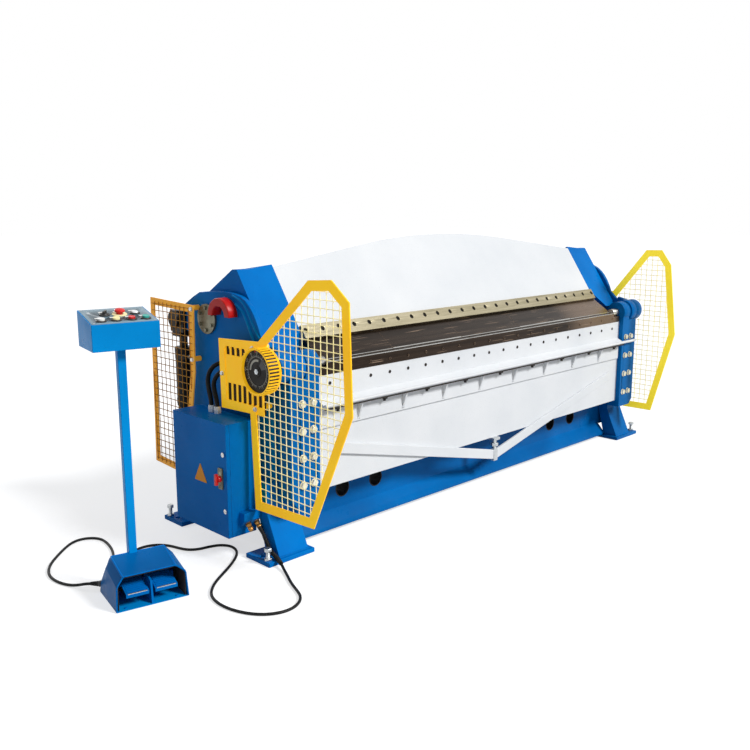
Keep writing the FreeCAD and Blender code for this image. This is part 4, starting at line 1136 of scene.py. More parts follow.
def chamfered(corners: list[Pair], cut: float) -> list[Pair]:
    """Cut off the corners of an outline.

    Args:
        corners: The outline.
        cut: How much of each side goes.

    Returns:
        The new outline.
    """
    found = []
    for k, corner in enumerate(corners):
        here = Vector(corner)
        for other in (corners[k - 1], corners[(k + 1) % len(corners)]):
            found.append(tuple(here + (Vector(other) - here).normalized() * cut))
    return found


@dataclass
class Fasteners:
    """Bolts, screws and threaded feet."""

    arm_columns: Pair = (1300.0, 1360.0)
    arm_rows: tuple[float, ...] = (678.0, 560.0, 442.0, 324.0)
    arm_faces: Pair = (-425.0, -326.0)
    beam_front: float = -398.0
    beam_screws: tuple[float, ...] = tuple(-1178.0 + 124.0 * k for k in range(20))
    face_lean: float = math.radians(34.0)
    strip_height: float = 944.0
    strip_pitch: float = 98.0
    strip_holes: int = 25
    feet: Pair = (1522.0, 380.0)
    thread_pitch: float = 2.6
    ledge_height: float = 640.0
    ledge_pitch: float = 290.0

    def build(self) -> None:
        """Make every fastener."""
        self._arm_bolts()
        self._strip_screws()
        self._beam_screws()
        self._blade_edges()
        self._guard_screws()
        self._levelling_bolts()
        self._ledge_nuts()

    def _arm_bolts(self) -> None:
        """Eight bolts in each folding arm, with their washers and nuts."""
        maker = MeshMaker()
        front, back = self.arm_faces
        for x in (side * column for side in SIDES for column in self.arm_columns):
            for z in self.arm_rows:
                maker.bolt(mm(x, front, z), FRONT, 17.5)
                maker.lathe(mm(x, front + 1, z), BACK, [(0, 8.8), (100, 8.8)])
                maker.bolt(mm(x, back, z), BACK, 16)
        maker.piece("arm_bolts_detailed", Finish.GOLD_ZINC, "fold", "arm_bolts")

    def _strip_screws(self) -> None:
        """A sunk socket screw in every hole of the blade strip."""
        out = Vector((0.0, -math.cos(self.face_lean), math.sin(self.face_lean)))
        z = self.strip_height
        y = -50.0 - (1210.0 - z) * math.tan(self.face_lean)
        maker = MeshMaker()
        for k in range(self.strip_holes):
            x = self.strip_pitch * (k - self.strip_holes // 2)
            maker.socket(mm(x, y, z) + out * 4.2 * MM, out, 10.4, 5.2)
        maker.piece("strip_screws", Finish.OXIDE, "clamp")

    def _beam_screws(self) -> None:
        """Sunk screws along the folding beam, in the near-black that paints the shade of their
        holes, and screws in its blade.
        """
        beam, blade = MeshMaker(), MeshMaker()
        for x in self.beam_screws:
            beam.socket(mm(x, self.beam_front, 738), FRONT, 7.8, 2.5)
            blade.socket(mm(x, self.beam_front - 2, 800), FRONT, 7.5, 2.5)
        # The beam's screws take the painted-shade black, so they also paint the shade in their
        # holes.
        beam.piece("beam_screws", Finish.SHADE, "fold")
        blade.piece("blade_bolts", Finish.TOOL, "fold", "blade_screws")

    @staticmethod
    def _blade_edges() -> None:
        """The ground edges of the folding blade and of the five upper blades."""
        maker = MeshMaker()
        maker.box((-1190, -400.8, 830.6), (1190, -399.6, 834))
        maker.piece("blade_edge", Finish.BRIGHT, "fold")
        maker = MeshMaker()
        run = Vector((0, 118, 76.5)).normalized()
        proud = Vector((0, -76.5, 118)).normalized() * 0.7 * MM
        seams = (-1194, -750, -250, 250, 750, 1194)
        for low, high, width in zip(seams, seams[1:], (3.5, 6.5, 4, 8, 5)):
            start, deep = mm(low + 2, -368.8, 835.8), run * width * MM
            maker.prism([start, start + deep, start + deep + proud, start + proud],
                        mm(high - low - 4, 0, 0))
        maker.piece("segment_edges", Finish.BRIGHT, "clamp")

    @staticmethod
    def _guard_screws() -> None:
        """The screws that hold the guards on their spacers."""
        maker = MeshMaker()
        for x, out, spots in ((-1503, LEFT, ((-66, 780), (-296, 658), (-286, 914))),
                              (1458, RIGHT, ((-80, 780), (-294, 600), (-210, 920))),
                              (-1472, LEFT, ((207, 1032), (212, 800))),
                              (1472, RIGHT, ((207, 1032), (212, 800)))):
            for y, z in spots:
                maker.bolt(mm(x, y, z), out, 10)
        maker.piece("guard_screws", Finish.ZINC, "frame")

    def _levelling_bolts(self) -> None:
        """Four threaded feet with their lock nuts."""
        maker = MeshMaker()
        thread = [(0.0, 8)]
        for k in range(24):
            crest = self.thread_pitch * k + 1
            thread += [(crest, 9.6), (crest + 1.3, 8.4)]
        for x in (side * self.feet[0] for side in SIDES):
            for y in (side * self.feet[1] for side in SIDES):
                maker.lathe(mm(x, y, 1), UP, thread, 20)
                maker.hexagon(mm(x, y, 20), UP, 17, 11)
                maker.hexagon(mm(x, y, 61), UP, 17, 14)
        maker.piece("levelling_feet", Finish.ZINC, "frame", "levelling_bolts")

    def _ledge_nuts(self) -> None:
        """Nuts with washers on the studs under the ledge, and a dark strip that paints the shadow
        under the ledge's front edge.
        """
        maker = MeshMaker()
        thread = [(14.7, 6.8)]
        for n in range(4):
            crest = self.thread_pitch * n + 15.5
            thread += [(crest, 7.4), (crest + 1.3, 6.6)]
        for k in range(-4, 5):
            top = mm(k * self.ledge_pitch, self.beam_front - 30, self.ledge_height)
            maker.lathe(top, -UP, [(0, 13.5), (2.2, 13.5)], 28)
            maker.hexagon(top - UP * 2.2 * MM, -UP, 14.8, 12.5)
            maker.lathe(top, -UP, thread, 18)
        maker.piece("ledge_nuts_detailed", Finish.OXIDE, "fold", "ledge_nuts")
        # Painted shadow: a dark strip under the ledge's front edge.
        maker = MeshMaker()
        maker.box((-1250, -447, 634), (1250, -442, 640))
        maker.piece("ledge_shadow_strip", Finish.SHADE, "fold")


@dataclass
class Dial:
    """The angle dial with its scale, and the ridged ring round it."""

    face_x: float = -1546.0
    ring_x: float = -1557.5
    ridges: int = 42
    scale: Pair = (60.0, 61.2)
    ticks: Point = (74.0, 70.0, 66.5)
    numbers: range = range(0, 151, 30)
    number_radius: float = 78.6
    number_size: float = 12.5

    def build(self) -> None:
        """Make the dial and the ring."""
        self._disc()
        self._scale()
        for value in self.numbers:
            self._number(value)
        self._ring()

    def _spot(self, radius: float, degrees: float, proud: float = 0.0) -> Vector:
        """Find a point on the dial.

        Args:
            radius: Distance from its middle in millimetres.
            degrees: Angle from straight up, towards the operator.
            proud: How far in front of the disc in millimetres.

        Returns:
            The point in metres.
        """
        a = math.radians(degrees)
        return mm(self.face_x - proud, AXIS[0] - radius * math.sin(a),
                  AXIS[1] + radius * math.cos(a))

    def _disc(self) -> None:
        """The dark disc, dished inside its rim, with a hub and its nut."""
        maker = MeshMaker()
        maker.lathe(mm(self.face_x + 6, *AXIS), LEFT,
                    [(0, 83), (1, 87.5), (5.5, 87.5), (6.6, 86.2), (6.6, 83.2), (5.8, 82.2),
                     (5.8, 24), (7.2, 22), (8.4, 21), (8.4, 0)], 96)
        maker.piece("dial_disc", Finish.DIAL, "fold", "angle_dial")
        maker = MeshMaker()
        seat = mm(self.face_x - 2.4, *AXIS)
        maker.hexagon(seat, LEFT, 12, 5)
        maker.lathe(seat, LEFT, [(0, 6), (7, 5.5)])
        maker.piece("dial_nut", Finish.ZINC, "fold")

    def _sector(self, maker: MeshMaker, radii: Pair, turns: Pair, proud: float = 0.0) -> None:
        """Add a thin piece of a ring.

        Args:
            maker: The mesh.
            radii: Its inner and outer radius in millimetres.
            turns: Its first and last angle.
            proud: How far in front of the disc in millimetres.
        """
        count = max(1, round(abs(turns[1] - turns[0]) / 4))
        for k in range(count):
            a, b = (turns[0] + (turns[1] - turns[0]) * n / count for n in (k, k + 1))
            corners = [(radii[0], a), (radii[1], a), (radii[1], b), (radii[0], b)]
            maker.prism([self._spot(r, t, proud) for r, t in corners], mm(-0.2, 0, 0))

    def _scale(self) -> None:
        """The line of the scale, its graduation marks and the dark sector."""
        maker = MeshMaker()
        self._sector(maker, self.scale, (-175, 175))
        for step in range(-34, 35):
            degrees = step * 5.0
            reach = self.ticks[0 if step % 6 == 0 else 1 if step % 2 == 0 else 2]
            half = 0.9 if step % 6 == 0 else 0.5
            self._sector(maker, (61.0, reach), (degrees - half, degrees + half))
        self._sector(maker, (41.0, 50.0), (-88, 12))
        maker.piece("dial_marks", Finish.INK, "fold")
        maker = MeshMaker()
        self._sector(maker, (28.0, 58.0), (30, 74), 0.1)
        maker.piece("dial_sector", Finish.BLACK_PLASTIC, "fold")

    def _number(self, value: int) -> None:
        """Write one plain number on the dial.

        Args:
            value: The folding angle that it names.
        """
        degrees = 60.0 - value
        data = bpy.data.curves.new("number", "FONT")
        data.body = str(value)
        data.size = self.number_size * MM
        data.align_x = "CENTER"
        data.align_y = "CENTER"
        data.extrude = 0.0001
        text = bpy.data.objects.new("number", data)
        mesh = bpy.data.meshes.new_from_object(text)
        bpy.data.objects.remove(text)
        bpy.data.curves.remove(data)
        spot = self._spot(self.number_radius, degrees, 0.35)
        mesh.transform(left_face(*(spot / MM)) @ Matrix.Rotation(math.radians(-degrees), 4, "Z"))
        mesh.materials.clear()
        mesh.materials.append(material_of(Finish.INK))
        mount(bpy.data.objects.new(f"dial_number_{value}", mesh), Finish.INK, "fold")

    def _ring(self) -> None:
        """Ridges round the outside of the yellow ring, a dark band that paints the shade between
        them, and the pointer inside it.
        """
        maker = MeshMaker()
        for k in range(self.ridges):
            a = 2 * math.pi * k / self.ridges
            out = Vector((0, math.cos(a), math.sin(a)))
            side = Vector((0, -math.sin(a), math.cos(a)))
            base = mm(self.ring_x, *AXIS) + out * 0.0945
            maker.prism([base + side * s * MM + out * r * MM
                         for s, r in ((-4.2, 0), (-3, 4.6), (3, 4.6), (4.2, 0))], mm(50, 0, 0))
        maker.piece("ring_ridges", Finish.YELLOW, "frame")
        # Painted shade: a dark band that shows between the ridges.
        maker = MeshMaker()
        maker.band(mm(self.ring_x + 0.1, *AXIS), RIGHT, 95, 96.2, 49, 72)
        maker.piece("ring_groove_shade", Finish.OXIDE, "frame")
        maker = MeshMaker()
        tip = mm(-1555.2, AXIS[0], AXIS[1] + 77.5)
        maker.prism([tip, tip + mm(0, -5, 12.5), tip + mm(0, 5, 12.5)], mm(1.2, 0, 0))
        maker.piece("dial_pointer", Finish.RED, "frame")


POST = Matrix.Translation((-2.196, -0.335, 0.0)) @ Matrix.Rotation(math.radians(-12), 4, "Z")
PANEL = (POST @ Matrix.Translation((0, 0.085, 1.071))
         @ Matrix.Rotation(math.atan2(36.0, 191.0), 4, "X"))


class Cap(Enum):
    """The turned shapes of the controls, as distance along the axis and radius."""

    KNOB = ((0, 10.8), (1.4, 10.8), (1.4, 13.8), (7.5, 13.6), (9, 12.4), (9, 0))
    STOP = ((0, 10.8), (8.5, 10.8), (8.5, 13.8), (12, 13.8), (12.5, 18.6), (14, 20), (17.8, 19.8),
            (21.2, 16.8), (23.2, 11), (24, 4), (24, 0))
    LENS = ((0, 10.8), (1, 13), (6.6, 13), (9.5, 10.8), (10.8, 6), (11, 0))
    BUTTON = ((0, 10.8), (5.5, 10.8), (5.5, 13), (12.2, 13), (13, 12.1), (12.8, 10.8),
              (12.2, 8.5), (12, 0))


@dataclass(frozen=True)
class Control:
    """One control on the console.

    Attributes:
        name: Its short name.
        body: The CAD body it rides on.
        node: The CAD node it stands for.
        across: Its middle, from the panel's left edge in millimetres.
        row: Its middle up the slope, as a share of the panel.
        finish: Its finish.
        cap: Its shape.
    """

    name: str
    body: str
    node: str
    across: float
    row: float
    finish: Finish
    cap: Cap = Cap.BUTTON

    @property
    def place(self) -> Pair:
        """Its middle on the panel in millimetres."""
        return self.across, self.row * 194.4

    def spot(self, above: float) -> Matrix:
        """Find the frame over its middle, as far above the panel as given in millimetres."""
        return PANEL @ Matrix.Translation(mm(*self.place, above))


SELECTOR = Control("selector", "selector", "selector_knob", 74, 0.56, Finish.BLACK_PLASTIC,
                   Cap.KNOB)
STOP = Control("estop", "estop", "estop_button", 130, 0.56, Finish.RED_PLASTIC, Cap.STOP)
CONTROLS = (
    SELECTOR,
    STOP,
    Control("lamp", "frame", "pilot_lamp", 188, 0.56, Finish.LAMP, Cap.LENS),
    Control("fold", "fold_push", "fold_button", 42, 0.2, Finish.CREAM),
    Control("return", "return_push", "return_button", 97, 0.2, Finish.PALE),
    Control("clamp", "clamp_push", "clamp_button", 154, 0.2, Finish.RED_PLASTIC),
    Control("start", "start_push", "start_button", 207, 0.2, Finish.GREEN_PLASTIC),
)


@dataclass
class Console:
    """The grey control panel, its rings, buttons, lamp and screws."""

    thick: float = 1.2
    corner: float = 4.0
    hole: float = 11.8
    stop_hole: float = 14.5
    knob_turn: float = math.radians(-38)
    label: Pair = (28.0, 9.0)
    label_gap: float = 31.0

    def build(self) -> None:
        """Make every piece of the console."""
        self.normal = PANEL.to_3x3() @ UP
        self._panel()
        self._rings()
        self._caps()
        self._labels()

    def _panel(self) -> None:
        """The grey front plate with its holes and corner screws."""
        outline = []
        for cx, cy, start in ((238, 184, 0), (4, 184, 90), (4, 9, 180), (238, 9, 270)):
            for k in range(5):
                a = math.radians(start + 22.5 * k)
                outline.append((cx + self.corner * math.cos(a), cy + self.corner * math.sin(a)))
        maker = MeshMaker()
        maker.plate(outline, [(*c.place, self.stop_hole if c is STOP else self.hole)
                              for c in CONTROLS], PANEL, self.thick)
        maker.piece("console_panel", Finish.PANEL, "frame")
        maker = MeshMaker()
        for x in (9, 233):
            for v in (15, 178):
                maker.socket(PANEL @ mm(x, v, self.thick), self.normal, 3.6, 1.8)
        maker.piece("console_screws", Finish.ZINC, "frame")

    def _rings(self) -> None:
        """Black bezels round the controls and the pale disc under the stop button."""
        maker = MeshMaker()
        for control in CONTROLS:
            if control is not STOP:
                inner = 14.4 if control is SELECTOR else 13.5
                maker.hoop(control.spot(0).translation, self.normal,
                           [(1.2, inner), (1.2, inner + 6), (4.2, inner + 5.6),
                            (6.6, inner + 3.2), (6.6, inner)])
        maker.piece("control_bezels", Finish.BLACK_PLASTIC, "frame")
        maker = MeshMaker()
        maker.hoop(STOP.spot(0).translation, self.normal,
                   [(1.2, 14.6), (1.2, 28.5), (3.4, 27.5), (3.4, 14.6)], 56)
        maker.piece("stop_disc", Finish.PALE, "frame")

    def _caps(self) -> None:
        """The moving caps, each in place of its plain CAD solid."""
        turn = Matrix.Rotation(self.knob_turn, 4, "Z")
        for control in CONTROLS:
            maker = MeshMaker()
            maker.lathe(control.spot(0).translation, self.normal, list(control.cap.value),
                        48 if control is STOP else 40)
            if control is SELECTOR:
                maker.box((-3.6, -12.8, 0), (3.6, 12.8, 9), control.spot(8.5) @ turn)
            maker.piece(f"cap_{control.name}", control.finish, control.body, control.node)
        maker = MeshMaker()
        maker.box((-0.8, 2, 0), (0.8, 12, 0.35), SELECTOR.spot(17.3) @ turn)
        maker.piece("selector_mark", Finish.INK, "selector")

    def _labels(self) -> None:
        """Blank label plates over the controls."""
        maker = MeshMaker()
        half = self.label[0] / 2
        for x, v in (control.place for control in CONTROLS):
            low = v + self.label_gap
            maker.box((x - half, low, self.thick),
                      (x + half, low + self.label[1], self.thick + 0.6), PANEL)
        maker.piece("label_plates", Finish.CREAM, "frame")


@dataclass
class FootSwitch:
    """Treads of the pedals with bright strips that paint their edge highlights, and rims, a dark
    lining that paints the shade inside, and rivets of the hood.
    """

    slope: float = math.atan2(31.0, 104.0)
    ribs: int = 9
    rib_pitch: float = 10.0
    seats: Pair = (40.0, 152.0)

    def build(self) -> None:
        """Make the details of the foot switch."""
        for name, x in zip(("left", "right"), self.seats):
            seat = POST @ Matrix.Translation(mm(x, 6, 61)) @ Matrix.Rotation(self.slope, 4, "X")
            maker = MeshMaker()
            for y in (8 + self.rib_pitch * k for k in range(self.ribs)):
                maker.box((6, y, -0.2), (82, y + 4.5, 2.6), seat)
            maker.piece(f"tread_{name}", Finish.BLUE, f"{name}_pedal")
            # Painted highlight: bright zinc strips on the front edges of the treads.
            maker = MeshMaker()
            maker.box((6, -0.6, -5), (82, 3.4, 1.4), seat)
            maker.piece(f"tread_highlight_{name}", Finish.ZINC, f"{name}_pedal")
        maker = MeshMaker()
        front = [(0, 3), (5, 101), (30, 138), (234, 138), (272, 106), (280, 3)]
        maker.tube(spaced([POST @ mm(x, 0, z) for x, z in front], 12), 2.8, 10)
        for fold in (((30, 0, 138), (28, 142, 170), (18, 222, 60)),
                     ((234, 0, 138), (238, 142, 170), (262, 222, 60)),
                     ((28, 142, 170), (238, 142, 170))):
            maker.tube(spaced([POST @ (mm(*p) - UP * 0.003) for p in fold], 20), 4.2, 12)
        maker.piece("hood_rim", Finish.BLUE, "frame")
        # Painted shade: dark sheets inside the hood.
        maker = MeshMaker()
        for low, high in (((9, 4, 5), (11, 140, 98)), ((269, 4, 5), (271, 140, 98)),
                          ((36, 4, 130), (228, 140, 132)), ((12, 172, 5), (268, 174, 112))):
            maker.box(low, high, POST)
        maker.piece("hood_shade_lining", Finish.SHADE, "frame")
        maker = MeshMaker()
        for x in (40, 140, 240):
            for y in (20, 130):
                maker.lathe(POST @ mm(x, y, 3), UP, [(0, 6.5), (3, 5.5)])
        maker.piece("base_rivets", Finish.BLUE, "frame")


@dataclass(frozen=True)
class Entry:
    """Where a cable enters the machine.

    Attributes:
        end: Where the cable leaves its gland.
        back: From the next point of the cable's route to that end.
        boot: The length of its tapered boot.
        reach: The length of its gland.
    """

    end: Vector
    back: Vector
    boot: float
    reach: float


@dataclass
class CableEntries:
    """Ribbed conduits, domed gland nuts and the tapered boots of the cables."""

    conduits: tuple[tuple[Point, ...], ...] = (
        ((-1516, 6, 610), (-1516, 6, 652), (-1508, 36, 696), (-1496, 60, 742), (-1478, 52, 786),
         (-1452, 30, 806), (-1422, 30, 806)),
        ((-1516, -38, 610), (-1516, -38, 650), (-1510, -12, 688), (-1500, 10, 726),
         (-1482, 4, 762), (-1452, -14, 780), (-1422, -14, 780)),
    )
    conduit_starts: Pair = (6.0, -38.0)
    conduit_ends: tuple[Pair, ...] = ((30.0, 806.0), (-14.0, 780.0))
    grooves: int = 6

    def build(self) -> None:
        """Make every cable entry."""
        ends = ((CONTROL_ROUTE[0], CONTROL_ROUTE[1], 50, 34),
                (CONTROL_ROUTE[-1], CONTROL_ROUTE[-2], 34, 28),
                (PEDAL_ROUTE[0], PEDAL_ROUTE[1], 34, 28),
                (PEDAL_ROUTE[-1], PEDAL_ROUTE[-2], 30, 33.4))
        entries = [Entry(Vector(end), Vector(end) - Vector(near), boot, reach)
                   for end, near, boot, reach in ends]
        maker = MeshMaker()
        for route in self.conduits:
            maker.ribbed(curve_mm(route), 11, 5.2)
        maker.piece("ribbed_conduits", Finish.RUBBER, "frame", "cabinet_conduits", smooth=20)
        maker = MeshMaker()
        for entry in entries:
            self._boot(maker, entry)
        maker.piece("cable_boots", Finish.RUBBER, "frame", smooth=50)
        self._glands(entries)
        maker = MeshMaker()
        maker.ribbed(curve_line(CONTROL_ROUTE[1:6]), 9.8, 6)
        maker.piece("leg_sleeve", Finish.RUBBER, "frame", smooth=20)
        self._conduit_glands()

    def _boot(self, maker: MeshMaker, entry: Entry) -> None:
        """Add one tapered boot with flexing grooves.

        Args:
            maker: The mesh.
            entry: Where its cable enters the machine.
        """
        profile = [(-4, 10.5), (2, 10.8)]
        gap = entry.boot * 0.94 / self.grooves
        for k in range(self.grooves):
            size = 10.4 - 3.6 * k / self.grooves
            d = 3 + gap * k
            profile += [(d, size), (d + 0.6 * gap, size - 0.4), (d + 0.62 * gap, size - 1.6),
                        (d + 0.95 * gap, size - 1.8)]
        maker.lathe(entry.end, -entry.back, profile + [(entry.boot, 6.4)], 24)

    @staticmethod
    def _glands(entries: list[Entry]) -> None:
        """Make threaded glands where the cables enter, and a plugged spare beside the first.

        Args:
            entries: The four places, the cabinet's own first.
        """
        first = entries[0]
        spare = Entry(first.end + mm(-45, 0, 0), first.back, first.boot, first.reach)
        bronze, black = MeshMaker(), MeshMaker()
        for maker, entry in ((bronze, first), (bronze, spare), *((black, e) for e in entries[1:])):
            run, reach = -entry.back.normalized(), entry.reach
            at = entry.end - run * reach * MM
            maker.lathe(at, run, [(0, 12.5), (3, 12.5)], 30)
            maker.hexagon(at + run * 3 * MM, run, 13.4, 9)
            profile = [(12, 9.8)]
            for n in range(4):
                profile += [(12.5 + 1.8 * n, 10.2), (13.4 + 1.8 * n, 9.6)]
            profile += [(reach - 12, 11.2), (reach - 4, 11.2), (reach, 9.4)]
            maker.lathe(at, run, profile, 30)
            maker.hexagon(at + run * (reach - 13) * MM, run, 12.6, 8)
        bronze.lathe(spare.end, -spare.back, [(0, 8.8), (3, 8.8), (5, 6)], 24)
        black.box((8, 222, 9), (52, 236, 35), POST)
        bronze.piece("entry_glands", Finish.BRONZE, "frame")
        black.piece("hood_glands", Finish.BLACK_PLASTIC, "frame", "cable_glands")

    def _conduit_glands(self) -> None:
        """The pale glands at both ends of the cabinet's conduits."""
        maker = MeshMaker()
        for y in self.conduit_starts:
            at = mm(-1516, y, 600)
            maker.hexagon(at, UP, 16.5, 11)
            maker.lathe(at + UP * 0.011, UP, [(0, 15.2), (8, 15.2), (14, 14.2), (19, 12.5),
                                              (19, 11)], 30)
            maker.hexagon(at + UP * 0.0085, UP, 17.5, 9)
        for y, z in self.conduit_ends:
            at = mm(-1424, y, z)
            maker.hexagon(at, LEFT, 16.5, 9)
            maker.lathe(at + LEFT * 0.009, LEFT, [(0, 15.2), (7, 14.2), (11, 12)], 30)
        maker.piece("conduit_glands", Finish.CREAM, "frame")


@dataclass
class Cabinet:
    """Furniture of the electric cabinet's door and walls."""

    door_x: float = -1620.0
    hinge: Pair = (-1598.0, 161.0)
    hinge_levels: tuple[float, ...] = (182.0, 226.0, 502.0, 546.0)
    switch: Pair = (-200.0, 362.0)
    louvres: int = 6
    louvre_pitch: float = 22.0

    def build(self) -> None:
        """Make every piece of the cabinet."""
        maker = MeshMaker()
        maker.plate(chamfered([(0, 82), (47, 0), (-47, 0)], 4), [],
                    left_face(self.door_x, -47, 316), 1.6)
        maker.piece("door_sign", Finish.AMBER, "door", "door_plates")
        maker = MeshMaker()
        face = left_face(self.door_x, *self.switch)
        maker.plate(chamfered([(-16, -46), (16, -46), (16, 46), (-16, 46)], 3), [(0, 0, 8.6)],
                    face, 5.5)
        for x in (-11, 11):
            for z in (-40, 40):
                maker.socket(face @ mm(x, z, 5.5), LEFT, 2.6, 1.6)
        maker.piece("switch_plate", Finish.DULL, "door")
        maker = MeshMaker()
        for z, proud in ((470, 4), (220, 0)):
            at = mm(self.door_x - proud, -222, z)
            maker.lathe(at, LEFT, [(0, 10.5), (1.4, 10.5), (2.6, 8.5)], 30)
            maker.socket(at + LEFT * 0.0024, LEFT, 6.2, 2)
        maker.piece("door_locks", Finish.CHROME, "door")
        maker = MeshMaker()
        for z in self.hinge_levels:
            maker.lathe(mm(*self.hinge, z), UP, [(0, 5.6), (4, 5.6), (5.5, 3)], 16)
        maker.piece("hinge_caps", Finish.CHROME, "frame")
        # A black gasket in the door's gap, in the near-black that also paints the shade of that
        # gap.
        maker = MeshMaker()
        for low, high in (((-241, 105), (155, 111)), ((-241, 593), (155, 599)),
                          ((-241, 111), (-235, 593)), ((149, 111), (155, 593))):
            maker.box((-1602.4, *low), (-1600.6, *high))
        maker.piece("door_gasket_shade", Finish.SHADE, "frame")
        maker = MeshMaker()
        for z in (430 + self.louvre_pitch * k for k in range(self.louvres)):
            maker.prism([mm(-1580, 156, z), mm(-1580, 161, z), mm(-1580, 156, z + 13)],
                        mm(80, 0, 0))
        maker.piece("vent_louvres", Finish.BLUE, "frame")


@dataclass
class PowerPack:
    """Details of the hydraulic unit, its pipes and the clamp cylinders."""

    motor: Pair = (70.0, 540.0)
    fins: int = 36
    fin_radii: Pair = (90.5, 98.5)
    valves: tuple[float, ...] = (258.0, 306.0, 354.0)
    pipe_z: float = 569.0
    cylinder: Pair = (1380.0, 425.0)

    def build(self) -> None:
        """Make every piece of the unit."""
        self._motor()
        self._tank()
        self._valve_block()
        self._pipes()
        self._cylinders()

    def _motor(self) -> None:
        """Cooling fins, the fan cover with its grille, and the terminal box."""
        y, z = self.motor
        centre = mm(-250, y, z)
        maker = MeshMaker()
        for k in range(self.fins):
            a = 2 * math.pi * k / self.fins
            out = Vector((0, math.cos(a), math.sin(a)))
            side = Vector((0, -math.sin(a), math.cos(a))) * 1.6 * MM
            low, high = (centre + out * radius * MM for radius in self.fin_radii)
            maker.prism([low - side * 1.5, high - side, high + side, low + side * 1.5],
                        mm(300, 0, 0))
        maker.lathe(mm(-256, y, z), LEFT, [(0, 99), (36, 99), (45, 90), (47, 78), (47, 0)], 48)
        maker.lathe(mm(60, y, z), RIGHT, [(0, 100), (20, 100), (26, 94), (26, 60)], 48)
        maker.box((-186, -64, 584), (-34, -6, 594))
        maker.piece("motor_shell", Finish.MOTOR, "frame")
        maker = MeshMaker()
        for radius in (20, 34, 48, 62):
            maker.band(mm(-303, y, z), LEFT, radius, radius + 7, 1.2)
        for x in (-178, -42):
            for screw_y in (-56, -14):
                maker.socket(mm(x, screw_y, 594), UP, 4, 3)
        for k in range(6):
            a = math.pi * k / 3
            maker.socket(mm(86, y + 76 * math.cos(a), z + 76 * math.sin(a)), RIGHT, 7, 8)
        maker.piece("motor_fittings", Finish.OXIDE, "frame")

    @staticmethod
    def _tank() -> None:
        """Filler cap, level glass, lid screws and drain plug."""
        maker = MeshMaker()
        profile = [(0, 31)]
        for k in range(4):
            profile += [(3 + 6 * k, 32), (6 + 6 * k, 30.5)]
        maker.lathe(mm(-350, 150, 452), UP, profile + [(30, 24), (31, 0)], 40)
        maker.box((-396, 188, 318), (-372, 194, 404))
        maker.lathe(mm(390, 190, 306), BACK, [(0, 14), (4, 14)])
        maker.piece("tank_fittings", Finish.BLACK_PLASTIC, "frame")
        maker = MeshMaker()
        maker.box((-389, 194, 330), (-379, 196, 392))
        maker.piece("level_glass", Finish.LAMP, "frame")
        maker = MeshMaker()
        for x in range(-400, 401, 100):
            for y in (-42, 188):
                maker.bolt(mm(x, y, 430), UP, 7)
        maker.hexagon(mm(390, 194, 306), BACK, 11, 7)
        maker.piece("tank_bolts", Finish.ZINC, "frame")

    def _valve_block(self) -> None:
        """Coil plugs, end caps and screws of the valve block, and its pressure gauge."""
        coils, steel = MeshMaker(), MeshMaker()
        for x in self.valves:
            coils.box((x - 14, -28, 546), (x + 14, 14, 566))
            coils.lathe(mm(x, -30, 530), FRONT, [(0, 17.2), (8, 16), (10, 6), (16, 6)], 28)
            coils.lathe(mm(x, 110, 530), BACK, [(0, 16.5), (30, 16.5), (34, 13)], 28)
            for dx in (-12, 12):
                for y in (30, 100):
                    steel.socket(mm(x + dx, y, 560), UP, 4.8, 5)
        coils.piece("valve_coils", Finish.BLACK_PLASTIC, "frame")
        steel.lathe(mm(305, 130, 465), BACK, [(0, 12), (14, 12)], 20)
        steel.lathe(mm(305, 144, 465), BACK, [(0, 26), (4, 27.5), (16, 27.5), (19, 25)], 32)
        steel.piece("valve_fittings", Finish.BRIGHT, "frame")

    def _pipes(self) -> None:
        """Steel pipes along the rear tie, hoses to the cylinders and the motor's conduit."""
        pipes, clips, hoses = MeshMaker(), MeshMaker(), MeshMaker()
        over = self.pipe_z
        for side in SIDES:
            near = 380 if side > 0 else 230
            for row, port in ((0, 566), (1, 782)):
                y, start, z = 216 + 26 * row, 40 + 50 * row, 482 - 30 * row
                pipes.tube(curve_mm([
                    (near, start, z), (near + 60 * side, start, z),
                    (near + 120 * side, start + 20, z), (near + 160 * side, 150, z + 40),
                    (near + 190 * side, y, over), (near + 260 * side, y, over),
                    (side * 1290, y, over)]), 6, 12)
                pipes.hexagon(mm(side * 1290, y, over), RIGHT * side, 11.5, 20)
                hoses.tube(curve_mm([
                    (side * 1308, y, over), (side * 1326, y, over), (side * 1346, y + 8, 580),
                    (side * 1358, 300, 690 if row else 600), (side * 1376, 340, port),
                    (side * 1380, 372, port)]), 8.5, 14)
                pipes.hexagon(mm(side * 1380, 366, port), BACK, 12.5, 14)
                pipes.lathe(mm(side * 1380, 378, port), BACK, [(0, 11), (8, 11)])
            for x in (side * x for x in range(600, 1280, 220)):
                clips.box((x - 14, 202, 560), (x + 14, 256, 566))
                for y in (216, 242):
                    clips.band(mm(x - 9, y, over), RIGHT, 6, 8.5, 18, 20)
        pipes.piece("oil_pipes", Finish.ZINC, "frame")
        clips.piece("pipe_clips", Finish.BLACK, "frame")
        conduit = [(-186, -35, 560), (-240, -35, 560), (-330, -44, 520), (-420, -46, 480),
                   (-700, -46, 474), (-1100, -46, 474), (-1400, -46, 474)]
        hoses.ribbed(curve_mm(conduit), 9, 8)
        hoses.piece("oil_hoses", Finish.RUBBER, "frame")

